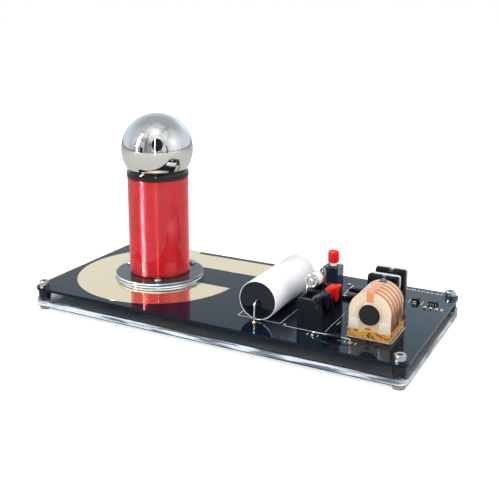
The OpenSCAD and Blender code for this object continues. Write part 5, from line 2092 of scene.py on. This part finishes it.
@dataclass
class Studio:
    """Pale floor, banded room, soft lamps, mirrored cards and the camera at the photo's angle."""

    lens: float = 57.77
    sensor: float = 36.0
    azimuth: float = 28.31
    down: float = 13.9
    place: Triple = (190.62, -363.67, 165.29)
    shift: Pair = (0.03, -0.10)
    clip: float = 0.01
    ambient: float = 0.64
    white: Color = (1.0, 1.0, 1.0)
    dark_bands: Color = (0.26, 0.30, 0.32)
    light_bands: Color = (0.86, 0.87, 0.84)
    low_behind: Color = (0.76, 0.855, 0.95)
    high_behind: Color = (0.46, 0.50, 0.53)
    floor_color: Color = (0.86, 0.87, 0.88)
    mirrored_floor: Color = (0.60, 0.61, 0.59)
    band_squeeze: Triple = (1.0, 1.0, 0.22)
    band_shift: Triple = (0.8, 0.0, 0.0)
    band_scale: float = 4.6
    band_edges: Pair = (0.40, 0.60)
    behind_edges: Pair = (0.30, 0.75)
    front_edges: Pair = (-0.3, 0.4)
    floor_size: float = 8.0
    floor_level: float = -0.0002
    floor_fade: Pair = (0.3, 1.2)
    floor_glow: Pair = (0.5, 1.0)
    cards: tuple[Card, ...] = (
        # dark shapes in the ball
        Card("Right stand", 0.03, (0.022, 0.20), turn=36.0, height=0.11),
        Card("Left stand", 0.03, (0.012, 0.42), turn=-33.0, height=0.45),
        Card("Dark door", 0.03, (0.06, 0.10), turn=-46.0, height=0.12),
        # tall strips, which draw the long light lines on the coil and on the ball
        Card("Left bright strip", 175.0, (0.040, 0.30), -62.0, 0.7, 0.50, level=True),
        Card("Left wide strip", 2.2, (0.040, 0.42), -62.0, 0.75, 0.36, level=True),
        Card("Thin bright strip", 34.0, (0.0010, 0.13), -2.0, 0.28, 0.20, -0.055, True),
        Card("Low thin strip", 60.0, (0.0018, 0.030), -2.0, 0.28, 0.068, -0.055, True),
        # soft glows, which light the ball and the glossy flats
        Card("Right glow", 1.6, (0.9, 0.8), 62.0, 0.8, 0.42, soft=True, corners=32),
        Card("Overhead glow", 1.6, (1.0, 0.9), -2.0, 0.5, 0.95, -0.1, soft=True, corners=32),
        Card("Back right glow", 1.6, (0.42, 0.34), soft=True, corners=32, tint=(0.68, 0.86, 1.0),
             at=(-0.12, 1.0, 0.40), aim=(0.08, 0.0, 0.01)),
        Card("Left glow", 0.7, (0.6, 0.8), -95.0, 0.9, 0.6, soft=True, corners=32))

    def build(self) -> None:
        """Builds the camera, the world, the floor, the lamps and the cards."""
        self.add_camera()
        self.add_world()
        self.add_floor()
        self.add_lamp("Overhead soft box", Vector((-0.25, 0.1, 1.0)), size=(0.9, 0.7), watts=4.2)
        self.add_lamp("Left soft box", self.spot(-62.0, 0.9, 0.34), size=(0.3, 0.6), watts=3.0,
                      aim=0.07)
        self.add_lamp("Right soft box", self.spot(62.0, 1.1, 0.5), size=(0.7, 0.6), watts=5.0)
        self.add_lamp("Front fill", self.spot(8.0, 0.9, 0.5), size=(0.5, 0.5), watts=3.6)
        self.add_cards()

    def direction(self, turn: float) -> Vector:
        """Gives the level direction from the object at a turn from the camera's side."""
        t = math.radians(self.azimuth + turn)
        return Vector((math.sin(t), -math.cos(t), 0.0))

    def spot(self, turn: float, reach: float, height: float, beside: float = 0.0) -> Vector:
        """Gives a place round the object.

        Args:
            turn: Angle from the camera's side, in degrees.
            reach: Distance from the middle, in metres.
            height: Height, in metres.
            beside: Shift along X, in metres.

        Returns:
            The place, in metres.
        """
        return self.direction(turn) * reach + Vector((beside, 0.0, height))

    def add_camera(self) -> None:
        """Adds the camera."""
        data = bpy.data.cameras.new("Camera")
        data.lens = self.lens
        data.sensor_width = self.sensor
        data.shift_x, data.shift_y = self.shift
        data.clip_start = self.clip
        camera = bpy.data.objects.new("Camera", data)
        camera.location = Vector(self.place) * MM
        camera.rotation_euler = (math.radians(90 - self.down), 0.0, math.radians(self.azimuth))
        bpy.context.scene.collection.objects.link(camera)
        bpy.context.scene.camera = camera

    def add_world(self) -> None:
        """Adds a world that is white to the camera and the glass, and a room to the mirrors."""
        world = bpy.data.worlds.new("Studio world")
        bpy.context.scene.world = world
        world.use_nodes = True
        world.node_tree.nodes.clear()
        nodes = Nodes(world.node_tree)
        seen = nodes.add("Background", {"Color": self.white})
        mirrored = nodes.add("Background", {"Color": self.mirrored_room(nodes)})
        ambient = nodes.add("Background", {"Strength": self.ambient})
        path = nodes.add("LightPath").outputs
        rest = nodes.mix_shaders(path["Is Glossy Ray"], ambient, mirrored)
        direct = nodes.calc("MAXIMUM", path["Is Camera Ray"], path["Is Transmission Ray"])
        world_light = nodes.mix_shaders(direct, rest, seen)
        nodes.add("OutputWorld", {"Surface": world_light.outputs[0]})

    def mirrored_room(self, nodes: Nodes) -> Socket:
        """Makes the room that mirrors and gloss see.

        Args:
            nodes: The world's node tree.

        Returns:
            Output socket of its colour: upright bands in front, even and darker at the top behind.
        """
        where = nodes.add("TexCoord").outputs["Generated"]
        tall = nodes.stretch(where, self.band_squeeze, self.band_shift)
        noise = nodes.noise(tall, self.band_scale, detail=3.0)
        bands = nodes.mix(nodes.share(noise, *self.band_edges), self.dark_bands, self.light_bands)
        height = nodes.add("SeparateXYZ", {0: where}).outputs["Z"]
        above = nodes.share(height, *self.behind_edges)
        behind = nodes.mix(above, self.low_behind, self.high_behind)
        inputs = {0: where, 1: self.direction(0.0)}
        ahead = nodes.add("VectorMath", inputs, operation="DOT_PRODUCT").outputs["Value"]
        return nodes.mix(nodes.share(ahead, *self.front_edges), behind, bands)

    def add_floor(self) -> None:
        """Adds the pale floor, which stays white to the camera but keeps a soft shadow."""
        bpy.ops.mesh.primitive_plane_add(size=self.floor_size, location=(0, 0, self.floor_level))
        floor = bpy.context.object
        floor.name = "Pale floor"
        material = new_material("Pale floor")
        nodes = Nodes(material.node_tree)
        pale = nodes.add("BsdfDiffuse", {"Color": self.floor_color})
        mirrored = nodes.add("BsdfDiffuse", {"Color": self.mirrored_floor})
        where = nodes.add("TexCoord").outputs["Object"]
        away = nodes.add("VectorMath", {0: where}, operation="LENGTH").outputs["Value"]
        (start, stop), (low, high) = self.floor_fade, self.floor_glow
        fade = {"Value": away, "From Min": start, "From Max": stop, "To Min": low, "To Max": high}
        glow = nodes.add("Emission", {"Strength": nodes.add("MapRange", fade).outputs["Result"]})
        lit = nodes.add("AddShader", {0: pale.outputs[0], 1: glow.outputs[0]})
        path = nodes.add("LightPath").outputs
        unseen = nodes.mix_shaders(path["Is Diffuse Ray"], mirrored, pale)
        shader = nodes.mix_shaders(path["Is Camera Ray"], unseen, lit)
        nodes.add("OutputMaterial", {"Surface": shader.outputs[0]})
        floor.data.materials.append(material)

    def add_lamp(self, name: str, place: Vector, size: Pair, watts: float,
                 aim: float = 0.04) -> None:
        """Adds a soft lamp that lights the object and stays out of its mirrors.

        Args:
            name: Name of the lamp.
            place: Place in metres.
            size: Width and height in metres.
            watts: Power.
        """
        data = bpy.data.lights.new(name, "AREA")
        data.shape = "RECTANGLE"
        data.size, data.size_y = size
        data.energy = watts
        lamp = bpy.data.objects.new(name, data)
        lamp.visible_glossy = False
        lamp.location = place
        lamp.rotation_euler = (Vector((0, 0, aim)) - place).to_track_quat("-Z", "Y").to_euler()
        bpy.context.scene.collection.objects.link(lamp)

    def add_cards(self) -> None:
        """Adds the cards, with a round dark one over the camera."""
        coil = ResonatorCoil()
        ball = Vector((coil.x, coil.y, coil.ball_z)) * MM
        over = Card("Round dark card", 0.03, (0.15, 0.17), corners=48)
        over.add(Vector(self.place) * MM + Vector((0.0, 0.0, 0.09)), ball)
        for card in self.cards:
            if card.at is not None:
                card.add(Vector(card.at), Vector(card.aim))
                continue
            target = Vector((ball.x, ball.y, card.height)) if card.level else ball
            card.add(self.spot(card.turn, card.reach, card.height, card.beside), target)


def main() -> None:
    """Builds the scene."""
    logging.basicConfig(level=logging.INFO, format="%(name)s: %(message)s")
    bpy.context.scene.view_settings.view_transform = "Standard"
    assemblies = (Studio(), BoardStack(), ResonatorCoil(), FilmCapacitor(), LeverTerminal(),
                  GapTube(), PushSwitch(), PowerTransistors(), StepUpTransformer(), SmallParts())
    for assembly in assemblies:
        assembly.build()
        LOG.info("%s is built", type(assembly).__name__)


if __name__ == "__main__":
    main()
